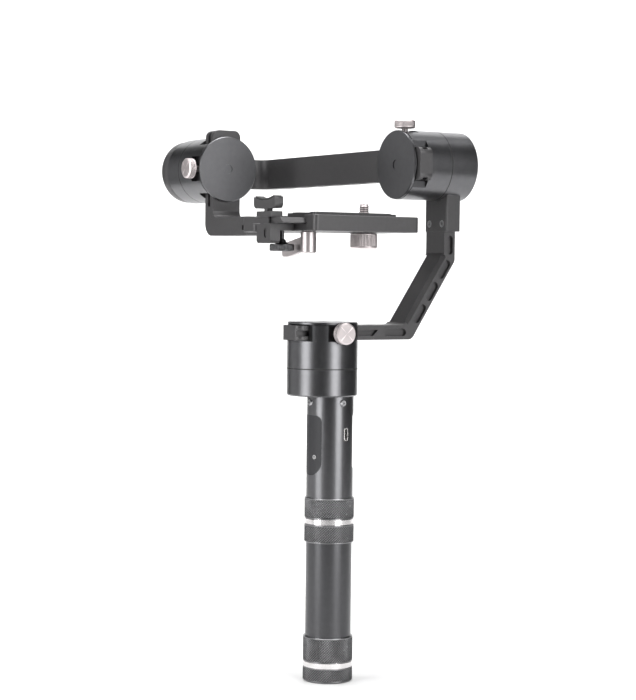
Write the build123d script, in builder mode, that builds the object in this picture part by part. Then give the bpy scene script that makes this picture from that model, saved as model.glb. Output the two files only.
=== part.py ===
"""Handheld three-axis camera gimbal stabilizer, built up as separate pieces.

Millimetres, +Z up the handle. The origin is the centre of the handle's bottom face, where its
tripod thread opens. The lens side of the camera tray looks along -Y, the user stands at +Y.
Pan turns about Z, roll about Y and tilt about X, and the three axes meet at one point.
"""

import math
import os

from build123d import *

os.makedirs("parts", exist_ok=True)

# ---------------------------------------------------------------- driving dimensions
TUBE_D = 29.0  # battery tube, sized to two 26 mm cells in line
GRIP_D = TUBE_D + 2.4  # knurled rings, a step proud of the battery tube
CONTROL_D = TUBE_D + 0.5  # control tube
CAP_H = 28.5  # knurled end cap
MID_Z = 88.1  # start of the knurled joint
MID_H = 28.3  # length of the knurled joint
HANDLE_TOP = 180.7  # underside of the pan motor
PAN_Y = -6.37  # pan axis, set forward of the handle's axis
MOTOR_D = 44.54  # all three motors
AXIS_Z = 327.5  # height where the three axes meet
ARM_W = 20.8  # width of every arm
ARM_T = 9.3  # thickness of the pan and roll arms
TILT_ARM_T = 11.2  # thickness of the tilt arm
TRAY_W = 58.4  # camera tray, across
TRAY_FRONT = -30.8
TRAY_REAR = 46.4
TRAY_BOTTOM = 283.4
TRAY_TOP = 293.2

# ---------------------------------------------------------------- shared clearances
GAP = 0.3  # between pieces that move past each other
FIT = 0.06  # radial running fit of a pin in its hole
WALL = 2.0

MOTOR_R = MOTOR_D / 2
TUBE_R = TUBE_D / 2
GRIP_R = GRIP_D / 2
CONTROL_R = CONTROL_D / 2

# ================================================================ motors
# One design serves all three axes. Heights run from the back of the stator housing along
# the axis: housing, 0.3 mm seam, rotor bell, then the clamp that grips the next arm.
ROTOR_LEN = 17.15
CELL_D = 26.0
MAGNET_T = 1.8
AIR_GAP = 1.07
STATOR_R = MOTOR_R - WALL - MAGNET_T - AIR_GAP
PLATE_T = 1.7  # clamp plate
BAR_GAP = 0.45  # each side of an arm inside its clamp
SHAFT_R = 2.5
BOSS_R = 6.0
STATOR_RIM = 1.3  # of the stator, outside its slots
STATOR_HUB = 3.1  # of the stator, inside its slots
BEARING_R = 4.5
KNOB_R = 6.75
KNOB_H = 5.4
KNOB_STEM_R = 2.0
CHANNEL_HALF = ARM_W / 2 + GAP


def ring_at(plane, height, outer, inner, length):
    """Adds a plain ring to the part being built."""
    with BuildSketch(plane.offset(height)) as ring:
        Circle(outer)
        if inner:
            Circle(inner, mode=Mode.SUBTRACT)
    extrude(ring.sketch, amount=length)


def make_housing(plane, length):
    """Stator housing: a cup with a bearing boss standing in the middle."""
    with BuildPart() as cup:
        with BuildSketch(plane):
            Circle(MOTOR_R)
        extrude(amount=length)
        rim = cup.edges().filter_by(GeomType.CIRCLE).group_by(SortBy.RADIUS)[-1]
        chamfer(rim.sort_by(Axis(plane.origin, plane.z_dir))[0], length=0.9)
        with BuildSketch(plane.offset(WALL + 0.5)):
            Circle(MOTOR_R - WALL)
        extrude(amount=length, mode=Mode.SUBTRACT)
        ring_at(plane, WALL, BOSS_R, 0, length + 10 - WALL)
        with BuildSketch(plane.offset(WALL + 1)):
            Circle(BEARING_R)
        extrude(amount=length + 12, mode=Mode.SUBTRACT)
    return cup.part


def make_bearings(plane, length):
    """Two ball bearings, drawn as plain rings, pressed into the boss."""
    with BuildPart() as rings:
        for start in (WALL + 2, length + 5):
            ring_at(plane, start, BEARING_R, SHAFT_R + FIT, 4)
    return rings.part


def make_stator(plane, length):
    """Laminated stator: a hub with twelve slotted teeth."""
    with BuildPart() as core:
        ring_at(plane, length + 1.8, STATOR_R, BOSS_R, 8.5)
        slot_from = BOSS_R + STATOR_HUB
        slot_to = STATOR_R - STATOR_RIM
        with BuildSketch(plane.offset(length + 1.8)):
            with PolarLocations((slot_from + slot_to) / 2, 12):
                SlotOverall(slot_to - slot_from, 2.4)
        extrude(amount=8.5, mode=Mode.SUBTRACT)
    return core.part


def make_bell(plane, length):
    """Rotor bell with its shaft."""
    start = length + GAP
    with BuildPart() as bell:
        ring_at(plane, start, MOTOR_R, 0, ROTOR_LEN)
        with BuildSketch(plane.offset(start)):
            Circle(MOTOR_R - WALL)
        extrude(amount=ROTOR_LEN - 2.5, mode=Mode.SUBTRACT)
        ring_at(plane, WALL + 1.5, SHAFT_R, 0, length + ROTOR_LEN - 4)
        ring_at(plane, length + 10.6, 4.0, 0, ROTOR_LEN - 10.6 - 1)
    return bell.part


def make_magnets(plane, length):
    """Fourteen magnets glued inside the bell."""
    with BuildPart() as magnets:
        ring_at(plane, length + 1.8, MOTOR_R - WALL, MOTOR_R - WALL - MAGNET_T, 8.5)
        with BuildSketch(plane.offset(length + 1.8)):
            with PolarLocations(MOTOR_R - WALL - 1, 14):
                Rectangle(4, 0.5)
        extrude(amount=8.5, mode=Mode.SUBTRACT)
    return magnets.part


def make_clamp(plane, length, bar):
    """Two walls of the arm clamp. The wall on the plane's +x side carries the thumbscrew."""
    start = length + GAP + ROTOR_LEN
    depth = bar + 2 * BAR_GAP
    mid = start + depth / 2
    side = Plane(origin=plane.origin + plane.z_dir * mid, x_dir=plane.z_dir, z_dir=plane.x_dir)
    with BuildPart() as walls:
        with BuildSketch(plane.offset(start)):
            Circle(MOTOR_R)
            Rectangle(2 * CHANNEL_HALF, 3 * MOTOR_R, mode=Mode.SUBTRACT)
            with Locations((0, MOTOR_R), (0, -MOTOR_R)):
                Rectangle(3 * MOTOR_R, 2 * (MOTOR_R - 16.5), mode=Mode.SUBTRACT)
        extrude(amount=depth)
        with BuildSketch(side.offset(17.6)):
            with Locations((0, 0)):
                RectangleRounded(depth + 8, 17, 3)
        extrude(amount=10, mode=Mode.SUBTRACT)
        with BuildSketch(side.offset(CHANNEL_HALF - 1)):
            Circle(KNOB_STEM_R + FIT)
        extrude(amount=10, mode=Mode.SUBTRACT)
    return walls.part


def make_clamp_plate(plane, length, bar):
    """Round plate that closes the clamp."""
    start = length + GAP + ROTOR_LEN + bar + 2 * BAR_GAP
    with BuildPart() as plate:
        ring_at(plane, start, MOTOR_R - 0.2, 0, PLATE_T)
        chamfer(plate.edges().filter_by(GeomType.CIRCLE), length=0.4)
        with BuildSketch(plane.offset(start + PLATE_T - 0.5)):
            Circle(3.2)
        extrude(amount=1, mode=Mode.SUBTRACT)
    return plate.part


def make_knob(plane, length, bar):
    """Thumbscrew: knurled head and a plain stem that stops just short of the arm."""
    mid = length + GAP + ROTOR_LEN + bar / 2 + BAR_GAP
    side = Plane(origin=plane.origin + plane.z_dir * mid, x_dir=plane.z_dir, z_dir=plane.x_dir)
    with BuildPart() as knob:
        ring_at(side, MOTOR_R + 1.2, KNOB_R, 0, KNOB_H)
        chamfer(knob.edges().filter_by(GeomType.CIRCLE), length=0.8)
        ring_at(side, CHANNEL_HALF, KNOB_STEM_R, 0, MOTOR_R + 2 - CHANNEL_HALF)
    return knob.part


def save(name, piece):
    piece.label = name
    export_step(piece, f"parts/{name}.step")


PAN_LEN = 17.0
ROLL_LEN = 20.5
TILT_LEN = 17.0
STACK = GAP + ROTOR_LEN  # seam and bell
PAN_BAR_Z = HANDLE_TOP + PAN_LEN + STACK + BAR_GAP
ROLL_BACK = 97.1  # rear face of the roll motor
ROLL_BAR_Y = ROLL_BACK - ROLL_LEN - STACK - BAR_GAP
TILT_BAR_X = -137.9  # outer face of the tilt arm
TILT_BACK = TILT_BAR_X - BAR_GAP - STACK - TILT_LEN

pan_plane = Plane(origin=(0, PAN_Y, HANDLE_TOP), x_dir=(1, 0, 0), z_dir=(0, 0, 1))
roll_plane = Plane(origin=(0, ROLL_BACK, AXIS_Z), x_dir=(0, 0, 1), z_dir=(0, -1, 0))
tilt_plane = Plane(origin=(TILT_BACK, PAN_Y, AXIS_Z), x_dir=(0, -1, 0), z_dir=(1, 0, 0))

for axis_name, motor_plane, stator_len, bar_t in (
    ("pan", pan_plane, PAN_LEN, ARM_T),
    ("roll", roll_plane, ROLL_LEN, ARM_T),
    ("tilt", tilt_plane, TILT_LEN, TILT_ARM_T),
):
    save(f"{axis_name}_stator", make_stator(motor_plane, stator_len))
    save(f"{axis_name}_bearings", make_bearings(motor_plane, stator_len))
    save(f"{axis_name}_bell", make_bell(motor_plane, stator_len))
    save(f"{axis_name}_magnets", make_magnets(motor_plane, stator_len))
    save(f"{axis_name}_clamp", make_clamp(motor_plane, stator_len, bar_t))
    save(f"{axis_name}_clamp_plate", make_clamp_plate(motor_plane, stator_len, bar_t))
    save(f"{axis_name}_knob", make_knob(motor_plane, stator_len, bar_t))

save("roll_housing", make_housing(roll_plane, ROLL_LEN))
save("tilt_housing", make_housing(tilt_plane, TILT_LEN))

# The pan housing also has the spigot that plugs into the control tube.
SPIGOT_WALL = 2.6
SPIGOT_R = CONTROL_R - WALL - 0.25
SPIGOT_H = 8.7
SCREW_Z = HANDLE_TOP - 4.3
SCREW_R = 1.0
with BuildPart() as pan_housing:
    add(make_housing(pan_plane, PAN_LEN))
    with BuildSketch(Plane.XY.offset(HANDLE_TOP - SPIGOT_H)):
        Circle(SPIGOT_R)
        Circle(SPIGOT_R - SPIGOT_WALL, mode=Mode.SUBTRACT)
    extrude(amount=SPIGOT_H)
    for turn in range(4):
        with BuildSketch(Plane.XZ.rotated((0, 0, 90 * turn)).offset(SPIGOT_R - SPIGOT_WALL - 1)):
            with Locations((0, SCREW_Z)):
                Circle(SCREW_R)
        extrude(amount=SPIGOT_WALL + 2, mode=Mode.SUBTRACT)
save("pan_housing", pan_housing.part)

# ================================================================ handle
CELL_R = CELL_D / 2
CELL_L = 50.0
BORE_R = CELL_R + 0.15
CAP_FLOOR = 8.5
TUBE_BOTTOM = CAP_FLOOR + 4
BAND_H = 3.6
MID_BAND_Z = MID_Z + 11.6
CONTROL_Z = MID_Z + MID_H
CAP_BAND_Z = CAP_FLOOR + 0.6

# The tube runs down inside the end cap and up inside the lower knurled ring.
with BuildPart() as battery_tube:
    with BuildSketch(Plane.XY.offset(TUBE_BOTTOM)):
        Circle(TUBE_R)
        Circle(BORE_R, mode=Mode.SUBTRACT)
    extrude(amount=MID_BAND_Z - TUBE_BOTTOM)
save("battery_tube", battery_tube.part)

with BuildPart() as battery_cells:
    for cell_z in (CAP_FLOOR + 3, CAP_FLOOR + 3 + CELL_L + 0.4):
        with BuildSketch(Plane.XY.offset(cell_z)):
            Circle(CELL_R)
        extrude(amount=CELL_L - 1.6)
        with BuildSketch(Plane.XY.offset(cell_z + CELL_L - 1.6)):
            Circle(4)
        extrude(amount=1.6)
save("battery_cells", battery_cells.part)

with BuildPart() as mid_ring_lower:
    with BuildSketch(Plane.XY.offset(MID_Z)):
        Circle(GRIP_R)
        Circle(TUBE_R, mode=Mode.SUBTRACT)
    extrude(amount=MID_BAND_Z - MID_Z)
    chamfer(mid_ring_lower.edges().filter_by(GeomType.CIRCLE).group_by(SortBy.RADIUS)[-1], length=0.4)
save("mid_ring_lower", mid_ring_lower.part)

NECK_R = BORE_R + 0.9
with BuildPart() as mid_band:
    with BuildSketch(Plane.XY.offset(MID_BAND_Z)):
        Circle(GRIP_R)
        Circle(NECK_R, mode=Mode.SUBTRACT)
    extrude(amount=BAND_H)
    chamfer(mid_band.edges().filter_by(GeomType.CIRCLE).group_by(SortBy.RADIUS)[-1], length=0.3)
save("mid_band", mid_band.part)

with BuildPart() as mid_ring_upper:
    with BuildSketch(Plane.XY.offset(MID_BAND_Z + BAND_H)):
        Circle(GRIP_R)
        Circle(NECK_R, mode=Mode.SUBTRACT)
    extrude(amount=CONTROL_Z - MID_BAND_Z - BAND_H)
    chamfer(mid_ring_upper.edges().filter_by(GeomType.CIRCLE).group_by(SortBy.RADIUS)[-1], length=0.4)
save("mid_ring_upper", mid_ring_upper.part)

# Front window: a curved plastic panel, flush in the tube wall on the lens side.
WINDOW_W = 18.0
WINDOW_Z0 = 130.6
WINDOW_Z1 = 168.5
WINDOW_T = 1.2
with BuildPart() as front_window:
    with BuildSketch(Plane.XY.offset(WINDOW_Z0 - 2)):
        Circle(CONTROL_R)
        Circle(CONTROL_R - WINDOW_T, mode=Mode.SUBTRACT)
    extrude(amount=WINDOW_Z1 - WINDOW_Z0 + 4)
    with BuildSketch(Plane.XZ) as outline:
        with Locations((0, (WINDOW_Z0 + WINDOW_Z1) / 2)):
            Rectangle(WINDOW_W, WINDOW_Z1 - WINDOW_Z0)
        fillet(outline.vertices().group_by(Axis.Y)[-1], radius=4.0)
        fillet(outline.vertices().group_by(Axis.Y)[0], radius=WINDOW_W / 2 - 0.6)
    extrude(amount=20, mode=Mode.INTERSECT)
save("front_window", front_window.part)

# Thumb panel on the user's side, and the places of its controls.
FLAT_Y = 9.6
PANEL_T = 1.6
PANEL_W = 16.6
PANEL_Z0 = 137.0
PANEL_Z1 = 167.0
STICK_Z = 157.5
BUTTON_Z = 144.6
BUTTON_X = 4.3
BUTTON_R = 2.4
LIGHT_Z = 150.4
WELL_R = 5.6
RAMP = 4.0
CHAMBER_Y = 6.0
USB_ANGLE = 11.0
USB_Z = 156.8
USB_W = 3.2
USB_H = 8.0
with BuildPart() as thumb_panel:
    with BuildSketch(Plane.XZ.offset(-FLAT_Y)):
        with Locations((0, (PANEL_Z0 + PANEL_Z1) / 2)):
            RectangleRounded(PANEL_W, PANEL_Z1 - PANEL_Z0, 4)
        with Locations((0, STICK_Z)):
            Circle(4.4, mode=Mode.SUBTRACT)
        with Locations((-BUTTON_X, BUTTON_Z), (BUTTON_X, BUTTON_Z)):
            Circle(BUTTON_R + GAP, mode=Mode.SUBTRACT)
        with Locations(*[(x, LIGHT_Z) for x in (-4.5, -1.5, 1.5, 4.5)]):
            Circle(0.55, mode=Mode.SUBTRACT)
    extrude(amount=PANEL_T)
save("thumb_panel", thumb_panel.part)

with BuildPart() as status_lights:
    with BuildSketch(Plane.XZ.offset(-FLAT_Y)):
        with Locations(*[(x, LIGHT_Z) for x in (-4.5, -1.5, 1.5, 4.5)]):
            Circle(0.55)
    extrude(amount=PANEL_T)
save("status_lights", status_lights.part)

usb_plane = Plane(
    origin=(Vector(CONTROL_R - 0.25, 0, 0).rotate(Axis.Z, USB_ANGLE)) + Vector(0, 0, USB_Z),
    x_dir=(0, 0, 1),
    z_dir=Vector(1, 0, 0).rotate(Axis.Z, USB_ANGLE),
)
with BuildPart() as usb_port:
    with BuildSketch(usb_plane):
        RectangleRounded(USB_H, USB_W, 0.8)
        RectangleRounded(USB_H - 0.8, USB_W - 0.8, 0.5, mode=Mode.SUBTRACT)
        with Locations((0, -0.3)):
            Rectangle(USB_H - 2.2, 0.5)
    extrude(amount=-4.2)
    with BuildSketch(usb_plane.offset(-4.2)):
        RectangleRounded(USB_H, USB_W, 0.8)
    extrude(amount=-0.8)
save("usb_port", usb_port.part)

with BuildPart() as control_tube:
    with BuildSketch(Plane.XY.offset(CONTROL_Z)):
        Circle(CONTROL_R)
    extrude(amount=HANDLE_TOP - CONTROL_Z)
    with BuildSketch(Plane.XY.offset(MID_BAND_Z + 0.3)):
        Circle(NECK_R)
    extrude(amount=CONTROL_Z - MID_BAND_Z - 0.3)
    with BuildSketch(Plane.XY.offset(MID_BAND_Z)):
        Circle(BORE_R)
    extrude(amount=CONTROL_Z - MID_BAND_Z - 1.5, mode=Mode.SUBTRACT)
    with BuildSketch(Plane.XY.offset(CONTROL_Z + 2.5)):
        with Locations((0, (CHAMBER_Y - 10) / 2)):
            RectangleRounded(17.2, CHAMBER_Y + 10, 2)
    extrude(amount=HANDLE_TOP - SPIGOT_H - CONTROL_Z, mode=Mode.SUBTRACT)
    with BuildSketch(Plane.XY.offset(HANDLE_TOP - SPIGOT_H)):
        Circle(SPIGOT_R)
    extrude(amount=SPIGOT_H, mode=Mode.SUBTRACT)
    with BuildSketch(Plane.YZ.offset(-20)):
        with BuildLine():
            Polyline(
                (FLAT_Y, PANEL_Z0 - 1),
                (FLAT_Y, PANEL_Z1 + 1),
                (CONTROL_R + 1, PANEL_Z1 + 1 + RAMP),
                (CONTROL_R + 1, PANEL_Z0 - 1 - RAMP),
                close=True,
            )
        make_face()
    extrude(amount=40, mode=Mode.SUBTRACT)
    with BuildSketch(Plane.XZ.offset(-FLAT_Y)):
        with Locations((0, (PANEL_Z0 + PANEL_Z1) / 2)):
            RectangleRounded(PANEL_W, PANEL_Z1 - PANEL_Z0, 4)
    extrude(amount=PANEL_T, mode=Mode.SUBTRACT)
    with BuildSketch(Plane.XZ.offset(-FLAT_Y)):
        with Locations((0, STICK_Z)):
            Circle(WELL_R)
        with Locations((-BUTTON_X, BUTTON_Z), (BUTTON_X, BUTTON_Z)):
            Circle(BUTTON_R + 1.2)
    extrude(amount=5, mode=Mode.SUBTRACT)
    add(front_window.part, mode=Mode.SUBTRACT)
    with BuildSketch(usb_plane.offset(2)):
        RectangleRounded(USB_H, USB_W, 0.8)
    extrude(amount=-7, mode=Mode.SUBTRACT)
    for turn in range(4):
        with BuildSketch(Plane.XZ.rotated((0, 0, 90 * turn)).offset(CONTROL_R - WALL - 1)):
            with Locations((0, SCREW_Z)):
                Circle(SCREW_R)
        extrude(amount=WALL + 2, mode=Mode.SUBTRACT)
save("control_tube", control_tube.part)

with BuildPart() as tube_screws:
    for turn in range(4):
        side = Plane.XZ.rotated((0, 0, 90 * turn))
        with BuildSketch(side.offset(CONTROL_R - 0.05)):
            with Locations((0, SCREW_Z)):
                Circle(2.2)
        extrude(amount=1.1, taper=22)
        with BuildSketch(side.offset(CONTROL_R + 0.3)):
            with Locations((0, SCREW_Z)):
                RegularPolygon(0.8, 6)
        extrude(amount=2, mode=Mode.SUBTRACT)
        with BuildSketch(side.offset(SPIGOT_R - 2.2)):
            with Locations((0, SCREW_Z)):
                Circle(SCREW_R)
        extrude(amount=CONTROL_R - SPIGOT_R + 2.2)
    add(control_tube.part, mode=Mode.SUBTRACT)
save("tube_screws", tube_screws.part)

with BuildPart() as main_board:
    with BuildSketch(Plane.XZ.offset(5.4)):
        with Locations((0, 146)):
            Rectangle(15.4, 48)
    extrude(amount=1.6)
    with BuildSketch(Plane.XZ.offset(3.4)):
        with Locations((0, 138), (0, 160)):
            Rectangle(7, 7)
        with Locations((5, 149), (-5, 149)):
            Rectangle(3, 4)
    extrude(amount=2)
save("main_board", main_board.part)

with BuildPart() as contact_plate:
    with BuildSketch(Plane.XY.offset(CONTROL_Z - 2.7)):
        Circle(BORE_R - 0.2)
    extrude(amount=1.2)
    with BuildSketch(Plane.XY.offset(CONTROL_Z - 3.5)):
        Circle(3)
    extrude(amount=0.8)
save("contact_plate", contact_plate.part)

# Screw-on end cap. The silver band sits in a groove between its two knurled parts.
BUSH_R = 6.0
with BuildPart() as end_cap:
    with BuildSketch():
        Circle(GRIP_R)
    extrude(amount=CAP_H)
    chamfer(end_cap.edges().filter_by(GeomType.CIRCLE), length=0.7)
    with BuildSketch(Plane.XY.offset(CAP_FLOOR)):
        Circle(TUBE_R + FIT)
    extrude(amount=CAP_H, mode=Mode.SUBTRACT)
    with BuildSketch(Plane.XY.offset(CAP_BAND_Z)):
        Circle(GRIP_R + 1)
        Circle(GRIP_R - 0.7, mode=Mode.SUBTRACT)
    extrude(amount=BAND_H, mode=Mode.SUBTRACT)
    with BuildSketch():
        Circle(BUSH_R)
    extrude(amount=CAP_FLOOR, mode=Mode.SUBTRACT)
save("end_cap", end_cap.part)

with BuildPart() as end_cap_band:
    with BuildSketch(Plane.XY.offset(CAP_BAND_Z)):
        Circle(GRIP_R)
        Circle(GRIP_R - 0.7, mode=Mode.SUBTRACT)
    extrude(amount=BAND_H)
    chamfer(end_cap_band.edges().filter_by(GeomType.CIRCLE).group_by(SortBy.RADIUS)[-1], length=0.25)
save("end_cap_band", end_cap_band.part)

TRIPOD_R = 2.6  # wall of the 1/4-20 thread, drawn plain
with BuildPart() as tripod_bush:
    with BuildSketch():
        Circle(BUSH_R)
    extrude(amount=CAP_FLOOR)
    with BuildSketch():
        Circle(TRIPOD_R)
    extrude(amount=CAP_FLOOR, mode=Mode.SUBTRACT)
save("tripod_bush", tripod_bush.part)

# ================================================================ thumb controls
STICK_Y = 4.2  # pivot of the joystick
with BuildPart() as joystick_gimbal:
    with BuildSketch(Plane.XZ.offset(-STICK_Y - 0.8)):
        with Locations((0, STICK_Z)):
            Circle(4.1)
            Circle(2.9, mode=Mode.SUBTRACT)
    extrude(amount=1.6)
    with BuildSketch(Plane.YZ.offset(4.0)):
        with Locations((STICK_Y, STICK_Z)):
            Circle(0.6)
    extrude(amount=1.0)
    with BuildSketch(Plane.YZ.offset(-5.0)):
        with Locations((STICK_Y, STICK_Z)):
            Circle(0.6)
    extrude(amount=1.0)
save("joystick_gimbal", joystick_gimbal.part)

CAP_R = 5.6
CAP_Y = 11.5
with BuildPart() as joystick_cap:
    with Locations((0, STICK_Y, STICK_Z)):
        Sphere(2.4)
    with BuildSketch(Plane.XZ.offset(-STICK_Y)):
        with Locations((0, STICK_Z)):
            Circle(1.5)
    extrude(amount=-(CAP_Y - STICK_Y + 0.5))
    with BuildSketch(Plane.XZ.offset(-CAP_Y)):
        with Locations((0, STICK_Z)):
            Circle(CAP_R)
    extrude(amount=-2.2)
    fillet(joystick_cap.faces().sort_by(Axis.Y)[-1].edges(), radius=1.2)
    with BuildSketch(Plane.XZ.offset(-CAP_Y - 2.2)):
        with Locations((0, STICK_Z)):
            Circle(2.6)
    extrude(amount=0.5, mode=Mode.SUBTRACT)
save("joystick_cap", joystick_cap.part)

BUTTON_TOP = FLAT_Y + 1.1
for button_name, button_x in (("power_button", -BUTTON_X), ("mode_button", BUTTON_X)):
    with BuildPart() as button:
        with BuildSketch(Plane.XZ.offset(-BUTTON_TOP)):
            with Locations((button_x, BUTTON_Z)):
                Circle(BUTTON_R)
        extrude(amount=BUTTON_TOP - CHAMBER_Y - 0.4)
        fillet(button.faces().sort_by(Axis.Y)[-1].edges(), radius=0.5)
        with BuildSketch(Plane.XZ.offset(-(FLAT_Y - PANEL_T - GAP))):
            with Locations((button_x, BUTTON_Z)):
                Circle(BUTTON_R + 0.8)
        extrude(amount=0.8)
    save(button_name, button.part)

# ================================================================ pan arm
PAN_BAR_TOP = PAN_BAR_Z + ARM_T
ARM_FRONT = -31.0
BRACKET_Z = 285.3
BRACKET_FRONT = 79.1
BRACKET_REAR = 90.4
ARM_REAR = 87.4
SLOT_W = 4.9
SLOT_DEPTH = 2.6
TONGUE_H = 13.0
ARM_CHAMFER = 2.3  # along the front edges of the slanted stretch
SLANT_START = (48.4, PAN_BAR_TOP)
SLANT_END = (BRACKET_FRONT, 271.2)
SLANT_RUN = math.dist(SLANT_START, SLANT_END)
SLANT_COS = (SLANT_END[0] - SLANT_START[0]) / SLANT_RUN
SLANT_SIN = (SLANT_END[1] - SLANT_START[1]) / SLANT_RUN
with BuildPart() as pan_arm:
    with BuildSketch(Plane.YZ.offset(-ARM_W / 2)):
        with BuildLine():
            profile = Polyline(
                (ARM_FRONT, PAN_BAR_Z),
                (54.4, PAN_BAR_Z),
                (60.0, 224.4),
                (ARM_REAR, 266.2),
                (ARM_REAR, BRACKET_Z),
                (BRACKET_FRONT, BRACKET_Z),
                SLANT_END,
                SLANT_START,
                (ARM_FRONT, PAN_BAR_TOP),
                close=True,
            )
        make_face()
    extrude(amount=ARM_W)
    bends = pan_arm.edges().filter_by(Axis.X)
    fillet(bends.filter_by_position(Axis.Y, 54, 90).filter_by_position(Axis.Z, 210, 270), radius=5)
    fillet(bends.filter_by_position(Axis.Y, 40, 50), radius=4)
    fillet(pan_arm.edges().filter_by(Axis.Z).filter_by_position(Axis.Y, -32, -30), radius=4.7)
    # tongue that plugs into the roll motor's bracket
    with BuildSketch(Plane.XY.offset(BRACKET_Z)):
        with Locations((0, (BRACKET_FRONT + ARM_REAR) / 2)):
            Rectangle(17, 5)
    extrude(amount=TONGUE_H)
    for face_x, inward in ((ARM_W / 2, 1), (-ARM_W / 2, -1)):
        with BuildSketch(Plane.YZ.offset(face_x)):
            with Locations(Location((ARM_REAR - 4.1, 276.5))):
                SlotOverall(12.5, SLOT_W, rotation=90)
            for reach in (7.0, 24.0, 41.0):
                with Locations((56.7 + reach * 0.548, 226.3 + reach * 0.836)):
                    SlotOverall(13.5, SLOT_W, rotation=57)
            with Locations((41.5, PAN_BAR_Z + ARM_T / 2)):
                SlotOverall(17, SLOT_W)
        extrude(amount=-SLOT_DEPTH * inward, mode=Mode.SUBTRACT)
        with BuildSketch(Plane.YZ.offset(face_x)):
            with BuildLine():
                Polyline(
                    (ARM_FRONT - 1, PAN_BAR_Z + 2.6),
                    (25.0, PAN_BAR_Z + 2.6),
                    (28.6, PAN_BAR_Z + 6.3),
                    (ARM_FRONT - 1, PAN_BAR_Z + 6.3),
                    close=True,
                )
            make_face()
        extrude(amount=-2.8 * inward, mode=Mode.SUBTRACT)
        start = (0, SLANT_START[0] + 2 * SLANT_COS, SLANT_START[1] + 2 * SLANT_SIN)
        along = Plane(origin=start, x_dir=(1, 0, 0), z_dir=(0, SLANT_COS, SLANT_SIN))
        edge_x = face_x + inward
        with BuildSketch(along):
            with BuildLine():
                Polyline(
                    (edge_x - inward * (ARM_CHAMFER + 2), -1),
                    (edge_x, -1),
                    (edge_x, ARM_CHAMFER + 1),
                    close=True,
                )
            make_face()
        extrude(amount=SLANT_RUN - 3, mode=Mode.SUBTRACT)
    bracket_bolts = Plane.XZ.offset(-BRACKET_FRONT + 2)
    with BuildSketch(bracket_bolts):
        with Locations((-7.0, BRACKET_Z + 5), (7.0, BRACKET_Z + 5)):
            Circle(1.25)
    extrude(amount=-12, mode=Mode.SUBTRACT)
save("pan_arm", pan_arm.part)

BRACKET_W = 24.0
with BuildPart() as roll_bracket:
    with BuildSketch(Plane.XY.offset(BRACKET_Z)):
        with Locations((0, (BRACKET_FRONT + BRACKET_REAR) / 2)):
            RectangleRounded(BRACKET_W, BRACKET_REAR - BRACKET_FRONT, 1.2)
    extrude(amount=AXIS_Z - MOTOR_R + 5 - BRACKET_Z)
    with BuildSketch(Plane.XY.offset(BRACKET_Z)):
        with Locations((0, (BRACKET_FRONT + ARM_REAR) / 2)):
            Rectangle(17, 5)
    extrude(amount=TONGUE_H, mode=Mode.SUBTRACT)
    with BuildSketch(Plane.XZ.offset(-BRACKET_FRONT + 2)):
        with Locations((-7.0, BRACKET_Z + 5), (7.0, BRACKET_Z + 5)):
            Circle(1.25)
    extrude(amount=-12, mode=Mode.SUBTRACT)
    with BuildSketch(Plane.XZ.offset(-BRACKET_FRONT + 2)):
        with Locations((-7.0, BRACKET_Z + 5), (7.0, BRACKET_Z + 5)):
            Circle(2.3)
    extrude(amount=-3.4, mode=Mode.SUBTRACT)
    with BuildSketch(Plane.XZ.offset(-60)):
        with Locations((0, AXIS_Z)):
            Circle(MOTOR_R)
    extrude(amount=-50, mode=Mode.SUBTRACT)
save("roll_bracket", roll_bracket.part)

with BuildPart() as bracket_screws:
    for screw_x in (-7.0, 7.0):
        with BuildSketch(Plane.XZ.offset(-BRACKET_FRONT)):
            with Locations((screw_x, BRACKET_Z + 5)):
                Circle(2.3)
                RegularPolygon(1.1, 6, mode=Mode.SUBTRACT)
        extrude(amount=-1.0)
        with BuildSketch(Plane.XZ.offset(-BRACKET_FRONT - 1.0)):
            with Locations((screw_x, BRACKET_Z + 5)):
                Circle(2.3)
        extrude(amount=-0.4)
        with BuildSketch(Plane.XZ.offset(-BRACKET_FRONT - 1.4)):
            with Locations((screw_x, BRACKET_Z + 5)):
                Circle(1.25)
        extrude(amount=-7)
save("bracket_screws", bracket_screws.part)

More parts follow.
